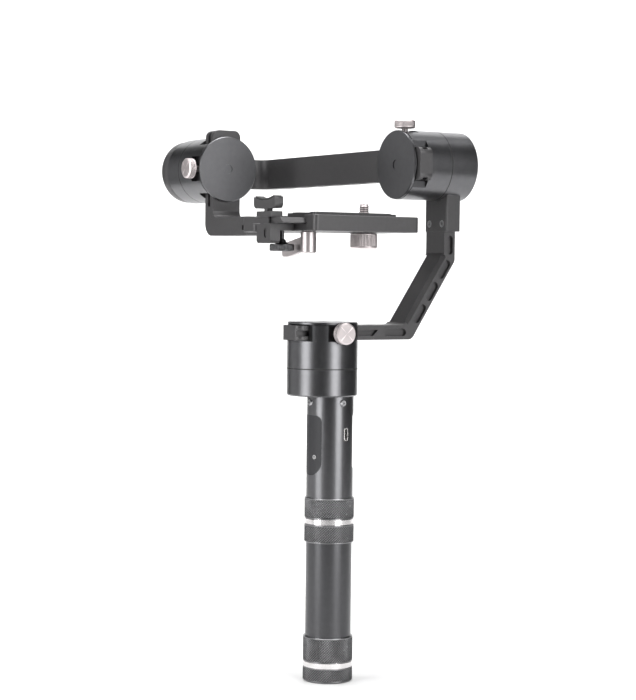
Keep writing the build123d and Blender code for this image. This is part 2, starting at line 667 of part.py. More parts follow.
# ================================================================ roll arm
ROLL_BAR_FRONT = ROLL_BAR_Y - ARM_T
ROLL_ARM_END = 25.0
SHANK_T = TILT_BACK - (-182.0)
with BuildPart() as roll_arm:
    with BuildSketch(Plane.XY.offset(AXIS_Z - ARM_W / 2)):
        with BuildLine():
            Polyline(
                (ROLL_ARM_END, ROLL_BAR_Y),
                (TILT_BACK - SHANK_T, ROLL_BAR_Y),
                (TILT_BACK - SHANK_T, PAN_Y),
                (TILT_BACK, PAN_Y),
                (TILT_BACK, ROLL_BAR_FRONT),
                (ROLL_ARM_END, ROLL_BAR_FRONT),
                close=True,
            )
        make_face()
    extrude(amount=ARM_W)
    uprights = roll_arm.edges().filter_by(Axis.Z)
    fillet(uprights.filter_by_position(Axis.X, -183, -180).filter_by_position(Axis.Y, 50, 70), radius=14)
    corner = uprights.filter_by_position(Axis.X, TILT_BACK - 1, TILT_BACK + 1)
    fillet(corner.filter_by_position(Axis.Y, 40, 60), radius=7)
    fillet(roll_arm.edges().filter_by(Axis.Y).filter_by_position(Axis.X, 24, 26), radius=4.0)
    with BuildSketch(Plane.YZ.offset(TILT_BACK - SHANK_T)):
        with Locations((PAN_Y, AXIS_Z)):
            Circle(MOTOR_R - 0.8)
    extrude(amount=SHANK_T)
    for face_z, inward in ((AXIS_Z + ARM_W / 2, 1), (AXIS_Z - ARM_W / 2, -1)):
        with BuildSketch(Plane.XY.offset(face_z)):
            with Locations(*[(x, ROLL_BAR_Y - ARM_T / 2) for x in (-52, -74, -96, -118, -140)]):
                SlotOverall(17, SLOT_W)
            with Locations(*[(TILT_BACK - SHANK_T / 2, y) for y in (34,)]):
                SlotOverall(14, SLOT_W, rotation=90)
        extrude(amount=-SLOT_DEPTH * inward, mode=Mode.SUBTRACT)
        with BuildSketch(Plane.XY.offset(face_z)):
            with Locations(((ROLL_ARM_END - 30) / 2, ROLL_BAR_Y - ARM_T / 2)):
                Rectangle(ROLL_ARM_END + 32, 3.7)
        extrude(amount=-1.6 * inward, mode=Mode.SUBTRACT)
save("roll_arm", roll_arm.part)

# ================================================================ tilt arm and camera tray
TILT_Z0 = 282.0
TILT_LEG_TOP = 294.4
TILT_TOP = 354.0
TILT_IN = TILT_BAR_X + TILT_ARM_T
LEG_END = -78.0
TONGUE_END = -33.0
TONGUE_Z = 285.6
TONGUE_T = 5.6
with BuildPart() as tilt_arm:
    with BuildSketch(Plane.XZ.offset(-(PAN_Y + ARM_W / 2))):
        with BuildLine():
            Polyline(
                (TILT_BAR_X, TILT_TOP),
                (TILT_BAR_X, TILT_Z0),
                (LEG_END, TILT_Z0),
                (LEG_END, TILT_LEG_TOP),
                (TILT_IN, TILT_LEG_TOP),
                (TILT_IN, TILT_TOP),
                close=True,
            )
        make_face()
    extrude(amount=ARM_W)
    corners = tilt_arm.edges().filter_by(Axis.Y)
    fillet(corners.group_by(Axis.Z)[0].sort_by(Axis.X)[0], radius=9)
    fillet(corners.filter_by_position(Axis.X, TILT_IN - 1, TILT_IN + 1).group_by(Axis.Z)[0], radius=4.5)
    chamfer(tilt_arm.edges().filter_by(Axis.Y).filter_by_position(Axis.X, LEG_END - 1, LEG_END + 1)
            .group_by(Axis.Z)[0], length=1.5)
    fillet(tilt_arm.faces().sort_by(Axis.Z)[-1].edges().filter_by(Axis.X), radius=4.7)
    with BuildSketch(Plane.YZ.offset(LEG_END - 1)):
        with Locations((PAN_Y, TONGUE_Z + TONGUE_T / 2)):
            Rectangle(15.6, TONGUE_T)
    extrude(amount=TONGUE_END - LEG_END + 1)
    # groove that takes the thumbscrew, and the stop notch beside the tray
    for face_y, inward in ((PAN_Y - ARM_W / 2, -1), (PAN_Y + ARM_W / 2, 1)):
        with BuildSketch(Plane.XZ.offset(-face_y)):
            with Locations((TILT_BAR_X + TILT_ARM_T / 2, 329)):
                Rectangle(3.7, 54)
            with Locations((LEG_END - 5.5, TILT_Z0 + 5.2)):
                RectangleRounded(5.6, 3.4, 0.6)
        extrude(amount=1.6 * inward, mode=Mode.SUBTRACT)
save("tilt_arm", tilt_arm.part)

BEAM_END = -61.0
BEAM_Y0 = -27.6
BEAM_Y1 = 10.0
FLOOR_TOP = 287.6
DOVE_BOTTOM = 19.0
DOVE_TOP = 16.6
DOVE_H = 3.6
QR_Z = FLOOR_TOP + GAP
SCREW_Y = 23.6
SLIDE = 20.0  # fore and aft travel of the quick-release plate
LEVER_X = 14.0
LEVER_Y = -26.0
with BuildPart() as camera_tray:
    with BuildSketch(Plane.XY.offset(TRAY_BOTTOM)):
        with Locations((0, (TRAY_FRONT + TRAY_REAR) / 2)):
            RectangleRounded(TRAY_W, TRAY_REAR - TRAY_FRONT, 2.7)
        with Locations(((BEAM_END - 25) / 2, (BEAM_Y0 + BEAM_Y1) / 2)):
            RectangleRounded(-25 - BEAM_END, BEAM_Y1 - BEAM_Y0, 2.7)
        with Locations((BEAM_END + 8.2, (TRAY_FRONT + BEAM_Y1) / 2)):
            RectangleRounded(16.4, BEAM_Y1 - TRAY_FRONT, 2.7)
    extrude(amount=TRAY_TOP - TRAY_BOTTOM)
    chamfer(camera_tray.faces().sort_by(Axis.Z)[-1].edges(), length=0.4)
    chamfer(camera_tray.faces().sort_by(Axis.Z)[0].edges(), length=0.5)
    with BuildSketch(Plane.XZ.offset(-60)):
        with BuildLine():
            Polyline(
                (-DOVE_BOTTOM - GAP, FLOOR_TOP),
                (DOVE_BOTTOM + GAP, FLOOR_TOP),
                (DOVE_BOTTOM + GAP, FLOOR_TOP + 1.0),
                (DOVE_TOP + GAP, FLOOR_TOP + GAP + DOVE_H + 0.2),
                (DOVE_TOP + GAP, TRAY_TOP + 1),
                (-DOVE_TOP - GAP, TRAY_TOP + 1),
                (-DOVE_TOP - GAP, FLOOR_TOP + GAP + DOVE_H + 0.2),
                (-DOVE_BOTTOM - GAP, FLOOR_TOP + 1.0),
                close=True,
            )
        make_face()
    extrude(amount=120, mode=Mode.SUBTRACT)
    with BuildSketch(Plane.XY.offset(TRAY_BOTTOM)):
        with Locations((0, SCREW_Y - SLIDE / 2)):
            SlotOverall(SLIDE + 7.4, 7.4, rotation=90)
        with Locations((LEVER_X, LEVER_Y)):
            Circle(2 + FIT)
    extrude(amount=FLOOR_TOP - TRAY_BOTTOM - 0.6, mode=Mode.SUBTRACT)
    with BuildSketch(Plane.XY.offset(TRAY_BOTTOM)):
        with Locations((0, SCREW_Y - SLIDE / 2)):
            SlotOverall(SLIDE + 7.4, 7.4, rotation=90)
    extrude(amount=10, mode=Mode.SUBTRACT)
    with BuildSketch(Plane.YZ.offset(BEAM_END - 1)):
        with Locations((PAN_Y, TONGUE_Z + TONGUE_T / 2)):
            Rectangle(15.6, TONGUE_T)
    extrude(amount=TONGUE_END - BEAM_END + 1, mode=Mode.SUBTRACT)
    with BuildSketch(Plane.XY.offset(TRAY_BOTTOM)):
        with Locations((-46, PAN_Y - 4), (-46, PAN_Y + 4)):
            Circle(2.6)
    extrude(amount=1.6, mode=Mode.SUBTRACT)
save("camera_tray", camera_tray.part)

with BuildPart() as tray_screws:
    with BuildSketch(Plane.XY.offset(TRAY_BOTTOM)):
        with Locations((-46, PAN_Y - 4), (-46, PAN_Y + 4)):
            Circle(2.6)
    extrude(amount=1.6)
    with BuildSketch(Plane.XY.offset(TRAY_BOTTOM)):
        with Locations((-46, PAN_Y - 4), (-46, PAN_Y + 4)):
            RegularPolygon(1.2, 6)
    extrude(amount=1.0, mode=Mode.SUBTRACT)
save("tray_screws", tray_screws.part)

# Quick-release plate: a dovetail that runs out in front as the lens support's rail.
QR_FRONT = -47.7
QR_REAR = 38.0
QR_TOP = 294.9
STEP_Y = -24.0
FORK = 10.8
PAD_T = 1.1
STUD_R = 3.15
SHANK_R = 2.5  # the screw is held captive by its thinner shank
with BuildPart() as qr_plate:
    with BuildSketch(Plane.XZ.offset(-QR_REAR)):
        with BuildLine():
            Polyline(
                (-DOVE_BOTTOM, QR_Z),
                (DOVE_BOTTOM, QR_Z),
                (DOVE_BOTTOM, QR_Z + 0.7),
                (DOVE_TOP, QR_Z + DOVE_H),
                (-DOVE_TOP, QR_Z + DOVE_H),
                (-DOVE_BOTTOM, QR_Z + 0.7),
                close=True,
            )
        make_face()
    extrude(amount=QR_REAR - QR_FRONT)
    with BuildSketch(Plane.XY.offset(QR_Z + DOVE_H)):
        with Locations((0, (QR_REAR + STEP_Y) / 2)):
            RectangleRounded(2 * DOVE_TOP - 0.4, QR_REAR - STEP_Y, 2)
    extrude(amount=QR_TOP - QR_Z - DOVE_H)
    with BuildSketch(Plane.XY.offset(QR_Z)):
        with Locations((0, QR_FRONT)):
            Rectangle(FORK, 27)
        with Locations((0, SCREW_Y)):
            Circle(SHANK_R + FIT)
    extrude(amount=12, mode=Mode.SUBTRACT)
    with BuildSketch(Plane.XY.offset(QR_TOP - 0.5)):
        with Locations((-10.5, 7), (10.5, 7)):
            RectangleRounded(8, 56, 1.5)
        with Locations((0, -4)):
            SlotOverall(26, 6.6, rotation=90)
    extrude(amount=2, mode=Mode.SUBTRACT)
save("qr_plate", qr_plate.part)

with BuildPart() as qr_pads:
    with BuildSketch(Plane.XY.offset(QR_TOP - 0.5)):
        with Locations((-10.5, 7), (10.5, 7)):
            RectangleRounded(8, 56, 1.5)
    extrude(amount=PAD_T)
save("qr_pads", qr_pads.part)

# Camera screw: knurled knob under the tray, a captive shank, and the 1/4 inch thread above the pads.
CAMERA_KNOB_R = 8.6
CAMERA_KNOB_H = 9.7
SEAT_Z = QR_TOP - 0.5 + PAD_T
THREAD_Z = SEAT_Z + 0.1
THREAD_H = 5.9
with BuildPart() as camera_screw:
    with BuildSketch(Plane.XY.offset(TRAY_BOTTOM - GAP - CAMERA_KNOB_H)):
        with Locations((0, SCREW_Y)):
            Circle(CAMERA_KNOB_R)
    extrude(amount=CAMERA_KNOB_H)
    chamfer(camera_screw.edges().filter_by(GeomType.CIRCLE), length=0.7)
    with BuildSketch(Plane.XY.offset(TRAY_BOTTOM - GAP - 1)):
        with Locations((0, SCREW_Y)):
            Circle(SHANK_R)
    extrude(amount=THREAD_Z - TRAY_BOTTOM + GAP + 1)
    with BuildSketch(Plane.XY.offset(THREAD_Z)):
        with Locations((0, SCREW_Y)):
            Circle(STUD_R)
    extrude(amount=THREAD_H)
    chamfer(camera_screw.faces().sort_by(Axis.Z)[-1].edges(), length=0.6)
save("camera_screw", camera_screw.part)

# Cam lever that locks the dovetail: hub, pivot pin, and a tall paddle drooping at its tip.
HUB_R = 4.9
HUB_H = 13.2
with BuildPart() as qr_lever:
    with BuildSketch(Plane.XY.offset(TRAY_BOTTOM - GAP - HUB_H)):
        with Locations((LEVER_X, LEVER_Y)):
            Circle(HUB_R)
    extrude(amount=HUB_H)
    chamfer(qr_lever.edges().filter_by(GeomType.CIRCLE), length=0.6)
    with BuildSketch(Plane.XY.offset(TRAY_BOTTOM - GAP - 1)):
        with Locations((LEVER_X, LEVER_Y)):
            Circle(2)
    extrude(amount=4.4)
    hub_top = TRAY_BOTTOM - GAP
    with BuildSketch(Plane.XZ.offset(-LEVER_Y - 2.4)):
        with BuildLine():
            Polyline(
                (LEVER_X, hub_top - 3.5),
                (LEVER_X - 9, hub_top - 3.5),
                (LEVER_X - 31, hub_top - 7.6),
                (LEVER_X - 31, hub_top - 15.6),
                (LEVER_X - 24, hub_top - 15.6),
                (LEVER_X - 9, hub_top - HUB_H + 0.7),
                (LEVER_X, hub_top - HUB_H + 0.7),
                close=True,
            )
        make_face()
    extrude(amount=3.0)
    tip = qr_lever.edges().filter_by(Axis.Y)
    fillet(tip.filter_by_position(Axis.X, LEVER_X - 32, LEVER_X - 30), radius=2)
save("qr_lever", qr_lever.part)

# ================================================================ lens support
BLOCK_FRONT = -49.9
BLOCK_REAR = -43.2
POST_Y = -46.5
POST_R = 2.6
LOCK_Y = -36.7
LOCK_R = 1.4
with BuildPart() as lens_support:
    with BuildSketch(Plane.XY.offset(275.6)):
        with Locations((0, (BLOCK_FRONT + BLOCK_REAR) / 2)):
            Rectangle(17.4, BLOCK_REAR - BLOCK_FRONT)
    extrude(amount=12.0)
    chamfer(lens_support.edges().filter_by(Axis.Y).group_by(Axis.Z)[0], length=1.6)
    with BuildSketch(Plane.XY.offset(283.6)):
        with Locations((0, (BLOCK_REAR - 31.4) / 2 - 0.5)):
            Rectangle(12, 12.8)
    extrude(amount=4.0)
    with BuildSketch(Plane.XY.offset(287.6)):
        with Locations((0, (BLOCK_FRONT + 0.4 + BLOCK_REAR) / 2)):
            Rectangle(FORK - 0.7, BLOCK_REAR - BLOCK_FRONT - 0.6)
    extrude(amount=4.3)
    with BuildSketch(Plane.XY.offset(QR_Z + DOVE_H + GAP)):
        with Locations((0, BLOCK_FRONT + 4.1)):
            RectangleRounded(19.2, 8.2, 1)
    extrude(amount=3.4)
    with BuildSketch(Plane.XY.offset(270)):
        with Locations((0, POST_Y)):
            Circle(POST_R + FIT)
        with Locations((0, LOCK_Y)):
            Circle(LOCK_R + FIT)
    extrude(amount=40, mode=Mode.SUBTRACT)
    with BuildSketch(Plane.XZ.offset(-BLOCK_FRONT)):
        with Locations((2.4, 281.8)):
            SlotOverall(6, 4.2, rotation=90)
    extrude(amount=-0.8, mode=Mode.SUBTRACT)
save("lens_support", lens_support.part)

with BuildPart() as lens_lock_knob:
    with BuildSketch(Plane.XY.offset(270.8)):
        with Locations((0, LOCK_Y)):
            Circle(7.65)
    extrude(amount=4.5)
    chamfer(lens_lock_knob.edges().filter_by(GeomType.CIRCLE), length=0.5)
    with BuildSketch(Plane.XY.offset(275.3)):
        with Locations((0, LOCK_Y)):
            Circle(4.6)
    extrude(amount=2.6, taper=42)
    with BuildSketch(Plane.XY.offset(275.3)):
        with Locations((0, LOCK_Y)):
            Circle(LOCK_R)
    extrude(amount=12.1)
save("lens_lock_knob", lens_lock_knob.part)

LENS_R = 36.0
CRADLE_TOP = 303.0
with BuildPart() as lens_post:
    with BuildSketch(Plane.XY.offset(277)):
        with Locations((0, POST_Y)):
            Circle(POST_R)
    extrude(amount=21)
    with BuildSketch(Plane.XZ.offset(-BLOCK_REAR + 0.4)):
        with Locations((0, 301.5)):
            RectangleRounded(26, 9, 3)
        with Locations((0, CRADLE_TOP - 1.2 + LENS_R)):
            Circle(LENS_R, mode=Mode.SUBTRACT)
    extrude(amount=6.0)
save("lens_post", lens_post.part)

with BuildPart() as lens_pad:
    with BuildSketch(Plane.XZ.offset(-BLOCK_REAR + 0.4)):
        with Locations((0, CRADLE_TOP - 1.2 + LENS_R)):
            Circle(LENS_R)
            Circle(LENS_R - 1.2, mode=Mode.SUBTRACT)
        with Locations((0, 301)):
            Rectangle(22, 12, mode=Mode.INTERSECT)
    extrude(amount=6.0)
save("lens_pad", lens_pad.part)
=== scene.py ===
# %% [markdown]
# # A handheld camera gimbal in Blender
# This notebook dresses a three-axis gimbal. The mechanical pieces come from the CAD model,
# already in place and at real size. Here they get rounded edges, real knurls where fingers grip,
# procedural metal, rubber and plastic finishes, a studio, and a camera. Everything is in metres.

# %% Load the CAD frame
import math

import bmesh
import bpy
from mathutils import Matrix, Vector


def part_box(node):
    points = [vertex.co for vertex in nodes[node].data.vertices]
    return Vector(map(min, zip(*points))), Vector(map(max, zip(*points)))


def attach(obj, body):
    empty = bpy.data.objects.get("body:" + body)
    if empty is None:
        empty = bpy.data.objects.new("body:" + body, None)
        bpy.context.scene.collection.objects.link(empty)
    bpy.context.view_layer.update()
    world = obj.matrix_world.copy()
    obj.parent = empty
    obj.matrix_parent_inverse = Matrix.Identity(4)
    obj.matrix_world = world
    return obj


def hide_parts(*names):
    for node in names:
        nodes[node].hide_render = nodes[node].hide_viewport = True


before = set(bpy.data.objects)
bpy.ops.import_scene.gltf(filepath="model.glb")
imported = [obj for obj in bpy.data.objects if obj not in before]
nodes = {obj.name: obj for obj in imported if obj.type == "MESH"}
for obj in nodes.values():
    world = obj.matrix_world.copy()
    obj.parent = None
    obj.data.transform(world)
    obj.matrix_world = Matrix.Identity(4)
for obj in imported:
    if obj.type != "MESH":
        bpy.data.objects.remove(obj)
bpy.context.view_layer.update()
MM = 0.001

# %% [markdown]
# ## Node helpers
# A material in Blender is a small graph. These helpers keep the graphs short. One adds a node and
# wires its inputs, a few do the same for the nodes that are used most, and the last two make and
# place a node group. Each finish below then reads as a list of ingredients.

# %% Node helpers
def wire(tree, socket, value):
    """Sets a socket to a value, or links it when the value is another node's socket."""
    if isinstance(value, bpy.types.NodeSocket):
        tree.links.new(value, socket)
    else:
        socket.default_value = value


def add(tree, kind, **inputs):
    """Adds a node. Keyword names are its input names, with _ for spaces."""
    node = tree.nodes.new(kind)
    for name, value in inputs.items():
        wire(tree, node.inputs[name.replace("_", " ")], value)
    return node


def maths(tree, operation, *values):
    """A Math node on two or three values."""
    node = tree.nodes.new("ShaderNodeMath")
    node.operation = operation
    for socket, value in zip(node.inputs, values):
        wire(tree, socket, value)
    return node.outputs[0]


def ranged(tree, value, low, high, start=0.0, end=1.0):
    """Maps low..high to start..end, and clamps what lies outside."""
    node = add(tree, "ShaderNodeMapRange", Value=value, From_Min=low, From_Max=high,
               To_Min=start, To_Max=end)
    return node.outputs["Result"]


def mix_color(tree, factor, low, high):
    """Blends two colours by a factor."""
    node = tree.nodes.new("ShaderNodeMix")
    node.data_type = "RGBA"
    wire(tree, node.inputs["Factor"], factor)
    wire(tree, node.inputs[6], low)
    wire(tree, node.inputs[7], high)
    return node.outputs[2]


def new_group(name, inputs, outputs):
    """An empty node group with its sockets; returns the group, its input node and output node."""
    group = bpy.data.node_groups.new(name, "ShaderNodeTree")
    for label, kind, default in inputs:
        socket = group.interface.new_socket(label, in_out="INPUT", socket_type=kind)
        socket.default_value = default
    for label in outputs:
        group.interface.new_socket(label, in_out="OUTPUT", socket_type=FLOAT)
    return group, group.nodes.new("NodeGroupInput"), group.nodes.new("NodeGroupOutput")


def use_group(tree, group, **inputs):
    """Places a node group in a material and sets its inputs."""
    node = tree.nodes.new("ShaderNodeGroup")
    node.node_tree = group
    for name, value in inputs.items():
        wire(tree, node.inputs[name.replace("_", " ")], value)
    return node


FLOAT, VECTOR = "NodeSocketFloat", "NodeSocketVector"
print("node helpers ready")

# %% [markdown]
# ## Grain
# Anodising and moulding both leave a fine mottling. Every finish uses it, so it's a node group:
# made once, then placed in each material with its own scale. The fine noise serves bumps and
# gloss, and a coarse one serves slow changes of colour.

# %% Grain
COARSE_SHARE = 0.17


def make_grain():
    group, take, give = new_group("Grain", [("Scale", FLOAT, 1500.0)], ["Value", "Coarse"])
    where = add(group, "ShaderNodeTexCoord")
    fine = add(group, "ShaderNodeTexNoise", Vector=where.outputs["Object"],
               Scale=take.outputs["Scale"], Detail=3.0, Roughness=0.6)
    wide = maths(group, "MULTIPLY_ADD", take.outputs["Scale"], COARSE_SHARE, 0.0)
    coarse = add(group, "ShaderNodeTexNoise", Vector=where.outputs["Object"], Scale=wide,
                 Detail=2.0, Roughness=0.5)
    group.links.new(fine.outputs["Fac"], give.inputs["Value"])
    group.links.new(coarse.outputs["Fac"], give.inputs["Coarse"])
    return group


grain = make_grain()
print("made the group", grain.name)

# %% [markdown]
# ## Turning marks
# A lathe leaves thin rings around a tube. They're a noise stretched so far along two axes that
# only the third still shows: the Stretch input says which axis the rings go around.

# %% Turning marks
def make_turning():
    group, take, give = new_group(
        "Turning marks", [("Stretch", VECTOR, (0.0, 0.0, 1.0))], ["Value"])
    where = add(group, "ShaderNodeTexCoord")
    squeeze = group.nodes.new("ShaderNodeVectorMath")
    squeeze.operation = "MULTIPLY"
    group.links.new(where.outputs["Object"], squeeze.inputs[0])
    group.links.new(take.outputs["Stretch"], squeeze.inputs[1])
    lines = add(group, "ShaderNodeTexNoise", Vector=squeeze.outputs[0], Scale=1.0, Detail=4.0,
                Roughness=0.65)
    group.links.new(lines.outputs["Fac"], give.inputs["Value"])
    return group


turning = make_turning()
print("made the group", turning.name)

# %% [markdown]
# ## Edge wear and painted highlight
# Handling polishes a coating off its edges first, and an edge also catches a thin highlight: the
# pale edge this mask drives is partly wear and partly a painted highlight. The mask compares the
# true normal with one from a rounded copy of the edge: where the two differ there's an edge. A
# noise then breaks the mask into patches, because wear is never even.

# %% Edge wear and painted highlight
WEAR_AND_HIGHLIGHT_STARTS, WEAR_AND_HIGHLIGHT_FULL = 0.97, 0.82
PATCH_SCALE, PATCH_LOW, PATCH_HIGH = 420.0, 0.42, 0.62


def make_edge_wear_and_highlight():
    group, take, give = new_group(
        "Edge wear and highlight", [("Radius", FLOAT, 0.0004), ("Amount", FLOAT, 1.0)], ["Mask"])
    rounded = add(group, "ShaderNodeBevel", Radius=take.outputs["Radius"])
    rounded.samples = 4
    true_normal = add(group, "ShaderNodeNewGeometry")
    compare = group.nodes.new("ShaderNodeVectorMath")
    compare.operation = "DOT_PRODUCT"
    group.links.new(rounded.outputs["Normal"], compare.inputs[0])
    group.links.new(true_normal.outputs["Normal"], compare.inputs[1])
    # Edge mask: partly wear, partly a painted highlight.
    steep = ranged(group, compare.outputs["Value"], WEAR_AND_HIGHLIGHT_STARTS, WEAR_AND_HIGHLIGHT_FULL)
    where = add(group, "ShaderNodeTexCoord")
    broken = add(group, "ShaderNodeTexNoise", Vector=where.outputs["Object"], Scale=PATCH_SCALE,
                 Detail=3.0)
    patch = ranged(group, broken.outputs["Fac"], PATCH_LOW, PATCH_HIGH)
    worn_and_highlit_patch = maths(group, "MULTIPLY", steep, patch)
    mask = maths(group, "MULTIPLY", worn_and_highlit_patch, take.outputs["Amount"])
    group.links.new(mask, give.inputs["Mask"])
    return group


edge_wear_and_highlight = make_edge_wear_and_highlight()
print("made the group", edge_wear_and_highlight.name)

# %% [markdown]
# ## Smudges
# Hands leave large soft patches where a satin surface is a little duller. A distorted noise, cut
# so that only its high parts are left, gives the mask.

# %% Smudges
def make_smudges():
    group, take, give = new_group("Smudges", [("Scale", FLOAT, 38.0)], ["Mask"])
    where = add(group, "ShaderNodeTexCoord")
    cloud = add(group, "ShaderNodeTexNoise", Vector=where.outputs["Object"],
                Scale=take.outputs["Scale"], Detail=5.0, Roughness=0.7, Distortion=0.4)
    group.links.new(ranged(group, cloud.outputs["Fac"], 0.45, 0.75), give.inputs["Mask"])
    return group


smudges = make_smudges()
print("made the group", smudges.name)

# %% [markdown]
# ## Painted knurl shade and highlight
# Shadow sits in a knurl's grooves and its crests catch the light, so both are painted into the
# colour: painted shade in the grooves, a painted highlight on the crests. The Geometry node's
# Pointiness says how far a point stands out from its neighbours, so it can darken the grooves and
# lighten the crests without any texture.

# %% Painted knurl shade and highlight
HOLLOW, CREST = 0.44, 0.55


def make_knurl_painted_shade():
    group, take, give = new_group(
        "Knurl shade", [("Groove painted shade", FLOAT, 0.25), ("Crest painted highlight", FLOAT, 2.0)], ["Gain"])
    shape = add(group, "ShaderNodeNewGeometry")
    # The gain is painted shade where Pointiness is low, in the grooves, and a painted highlight
    # where it is high, on the crests.
    gain = ranged(group, shape.outputs["Pointiness"], HOLLOW, CREST,
                  take.outputs["Groove painted shade"], take.outputs["Crest painted highlight"])
    group.links.new(gain, give.inputs["Gain"])
    return group


knurl_painted_shade = make_knurl_painted_shade()
print("made the group", knurl_painted_shade.name)

# %% [markdown]
# ## How every finish varies
# Two more steps are the same for metal and for plastic. Gloss wanders with the grain and dulls
# under the smudges, and a Bump node turns a height into a very low relief that catches the light.

# %% Gloss and relief
RELIEF_HEIGHT = 0.2 * MM


def gloss(tree, spots, hands, roughness, swing, dull):
    """Roughness that swings with the grain and rises where hands have been."""
    uneven = maths(tree, "MULTIPLY_ADD", spots.outputs["Value"], swing, roughness - swing / 2)
    return maths(tree, "MULTIPLY_ADD", hands.outputs["Mask"], dull, uneven)


def relief(tree, height, depth, under=None):
    """A bump, on top of the normal under it where one is given."""
    bump = add(tree, "ShaderNodeBump", Height=height, Strength=depth, Distance=RELIEF_HEIGHT)
    if under is not None:
        tree.links.new(under, bump.inputs["Normal"])
    return bump.outputs["Normal"]


def new_material(name):
    """A material with nodes; returns it with its tree and its Principled shader."""
    material = bpy.data.materials.new(name)
    material.use_nodes = True
    return material, material.node_tree, material.node_tree.nodes["Principled BSDF"]


print("relief height", RELIEF_HEIGHT, "m")

# %% [markdown]
# ## Metals
# One function makes every metal, because anodised aluminium differs only in colour, gloss and in
# the direction of its machining marks. Colour is slightly mottled, roughness follows the grain and
# the smudges, and edges turn paler: partly wear, partly a painted highlight.

# %% Metals
MOTTLE = 0.85
METAL_SWING, METAL_DULL = 0.08, 0.05


def make_metal(name, color, roughness, metallic=1.0, marks=None, mark_depth=0.0,
               grain_scale=1800.0, grain_depth=0.02, wear_and_highlight=0.5, worn_and_highlight=(0.55, 0.55, 0.56),
               knurled=False):
    material, tree, shader = new_material(name)
    shader.inputs["Metallic"].default_value = metallic
    spots = use_group(tree, grain, Scale=grain_scale)
    hands = use_group(tree, smudges)
    rub_and_highlight = use_group(tree, edge_wear_and_highlight, Amount=wear_and_highlight)
    deeper = [channel * MOTTLE for channel in color]
    tint = mix_color(tree, spots.outputs["Coarse"], (*color, 1), (*deeper, 1))
    # Paler edges: partly worn metal, partly a painted highlight.
    finished = mix_color(tree, rub_and_highlight.outputs["Mask"], tint, (*worn_and_highlight, 1))
    # Knurled finishes scale the colour by painted shade in the grooves and a painted highlight on
    # the crests.
    if knurled:
        shade = use_group(tree, knurl_painted_shade)
        painted_knurl_shade_color = tree.nodes.new("ShaderNodeVectorMath")
        painted_knurl_shade_color.operation = "SCALE"
        tree.links.new(finished, painted_knurl_shade_color.inputs[0])
        tree.links.new(shade.outputs["Gain"], painted_knurl_shade_color.inputs["Scale"])
        finished = painted_knurl_shade_color.outputs[0]
    tree.links.new(finished, shader.inputs["Base Color"])
    tree.links.new(gloss(tree, spots, hands, roughness, METAL_SWING, METAL_DULL),
                   shader.inputs["Roughness"])
    normal = relief(tree, spots.outputs["Value"], grain_depth)
    if marks:
        rings = use_group(tree, turning, Stretch=marks)
        normal = relief(tree, rings.outputs["Value"], mark_depth, normal)
    tree.links.new(normal, shader.inputs["Normal"])
    return material


print("metals have a roughness swing of", METAL_SWING)

# %% [markdown]
# ## Gunmetal
# The tubes and the three motors share one anodised gunmetal. Each gets a material of its own only
# because its turning marks go around another axis. The battery tube is a little deeper in tone.

# %% Gunmetal
FINE, LONG = 5200.0, 6.0
AROUND_X, AROUND_Y, AROUND_Z = (FINE, LONG, LONG), (LONG, FINE, LONG), (LONG, LONG, FINE)
GUNMETAL = (0.15, 0.15, 0.156)
SATIN = 0.31


def gunmetal(piece, marks, mark_depth, color=GUNMETAL):
    return make_metal(f"Gunmetal {piece}", color, SATIN, marks=marks, mark_depth=mark_depth,
                      wear_and_highlight=0.2)


tube_metal = gunmetal("tube", AROUND_Z, 0.03)
pan_metal = gunmetal("pan motor", AROUND_Z, 0.04)
roll_metal = gunmetal("roll motor", AROUND_Y, 0.04)
tilt_metal = gunmetal("tilt motor", AROUND_X, 0.04)
battery_metal = gunmetal("battery tube", AROUND_Z, 0.03, (0.09, 0.09, 0.094))
print("gunmetal ready")

# %% [markdown]
# ## The other metals
# Knurled grips are a shade darker than the tubes. The arms are blasted matt before they're
# anodised, so they have more grain and less shine. Bands, thumbscrews and screws are bright, and
# the stator's copper and the magnets show only when a motor is opened.

# %% Other metals
# Pale edge colour of the silver knobs: partly wear, partly a painted highlight.
SILVER_WORN_AND_HIGHLIGHT = (0.75, 0.72, 0.71)
knurl_metal = make_metal("Knurled grip metal", (0.125, 0.125, 0.128), 0.33, wear_and_highlight=0.4,
                         worn_and_highlight=(0.26, 0.26, 0.26), knurled=True)
dark_knurl = make_metal("Dark knurled knob", (0.07, 0.07, 0.072), 0.4, wear_and_highlight=0.3,
                        worn_and_highlight=(0.2, 0.2, 0.2), knurled=True)
arm_metal = make_metal("Black blasted arm", (0.08, 0.078, 0.08), 0.44, metallic=0.45,
                       grain_depth=0.07, grain_scale=2600.0, wear_and_highlight=0.5, worn_and_highlight=(0.24, 0.24, 0.25))
band_metal = make_metal("Bright turned band", (0.82, 0.8, 0.8), 0.2, marks=AROUND_Z,
                        mark_depth=0.02, grain_depth=0.005, wear_and_highlight=0.0)
knob_metal = make_metal("Clear anodised knob", (0.6, 0.555, 0.555), 0.42, wear_and_highlight=0.2,
                        worn_and_highlight=SILVER_WORN_AND_HIGHLIGHT)
knob_grip = make_metal("Clear anodised knurl", (0.42, 0.385, 0.385), 0.5, wear_and_highlight=0.2,
                       worn_and_highlight=SILVER_WORN_AND_HIGHLIGHT, knurled=True)
steel = make_metal("Screw steel", (0.42, 0.42, 0.43), 0.3, wear_and_highlight=0.6, worn_and_highlight=(0.75, 0.75, 0.75))
copper_core = make_metal("Stator core", (0.5, 0.27, 0.13), 0.4, wear_and_highlight=0.2)
magnet_metal = make_metal("Plated magnet", (0.6, 0.6, 0.6), 0.2, wear_and_highlight=0.1)
print("metals ready")

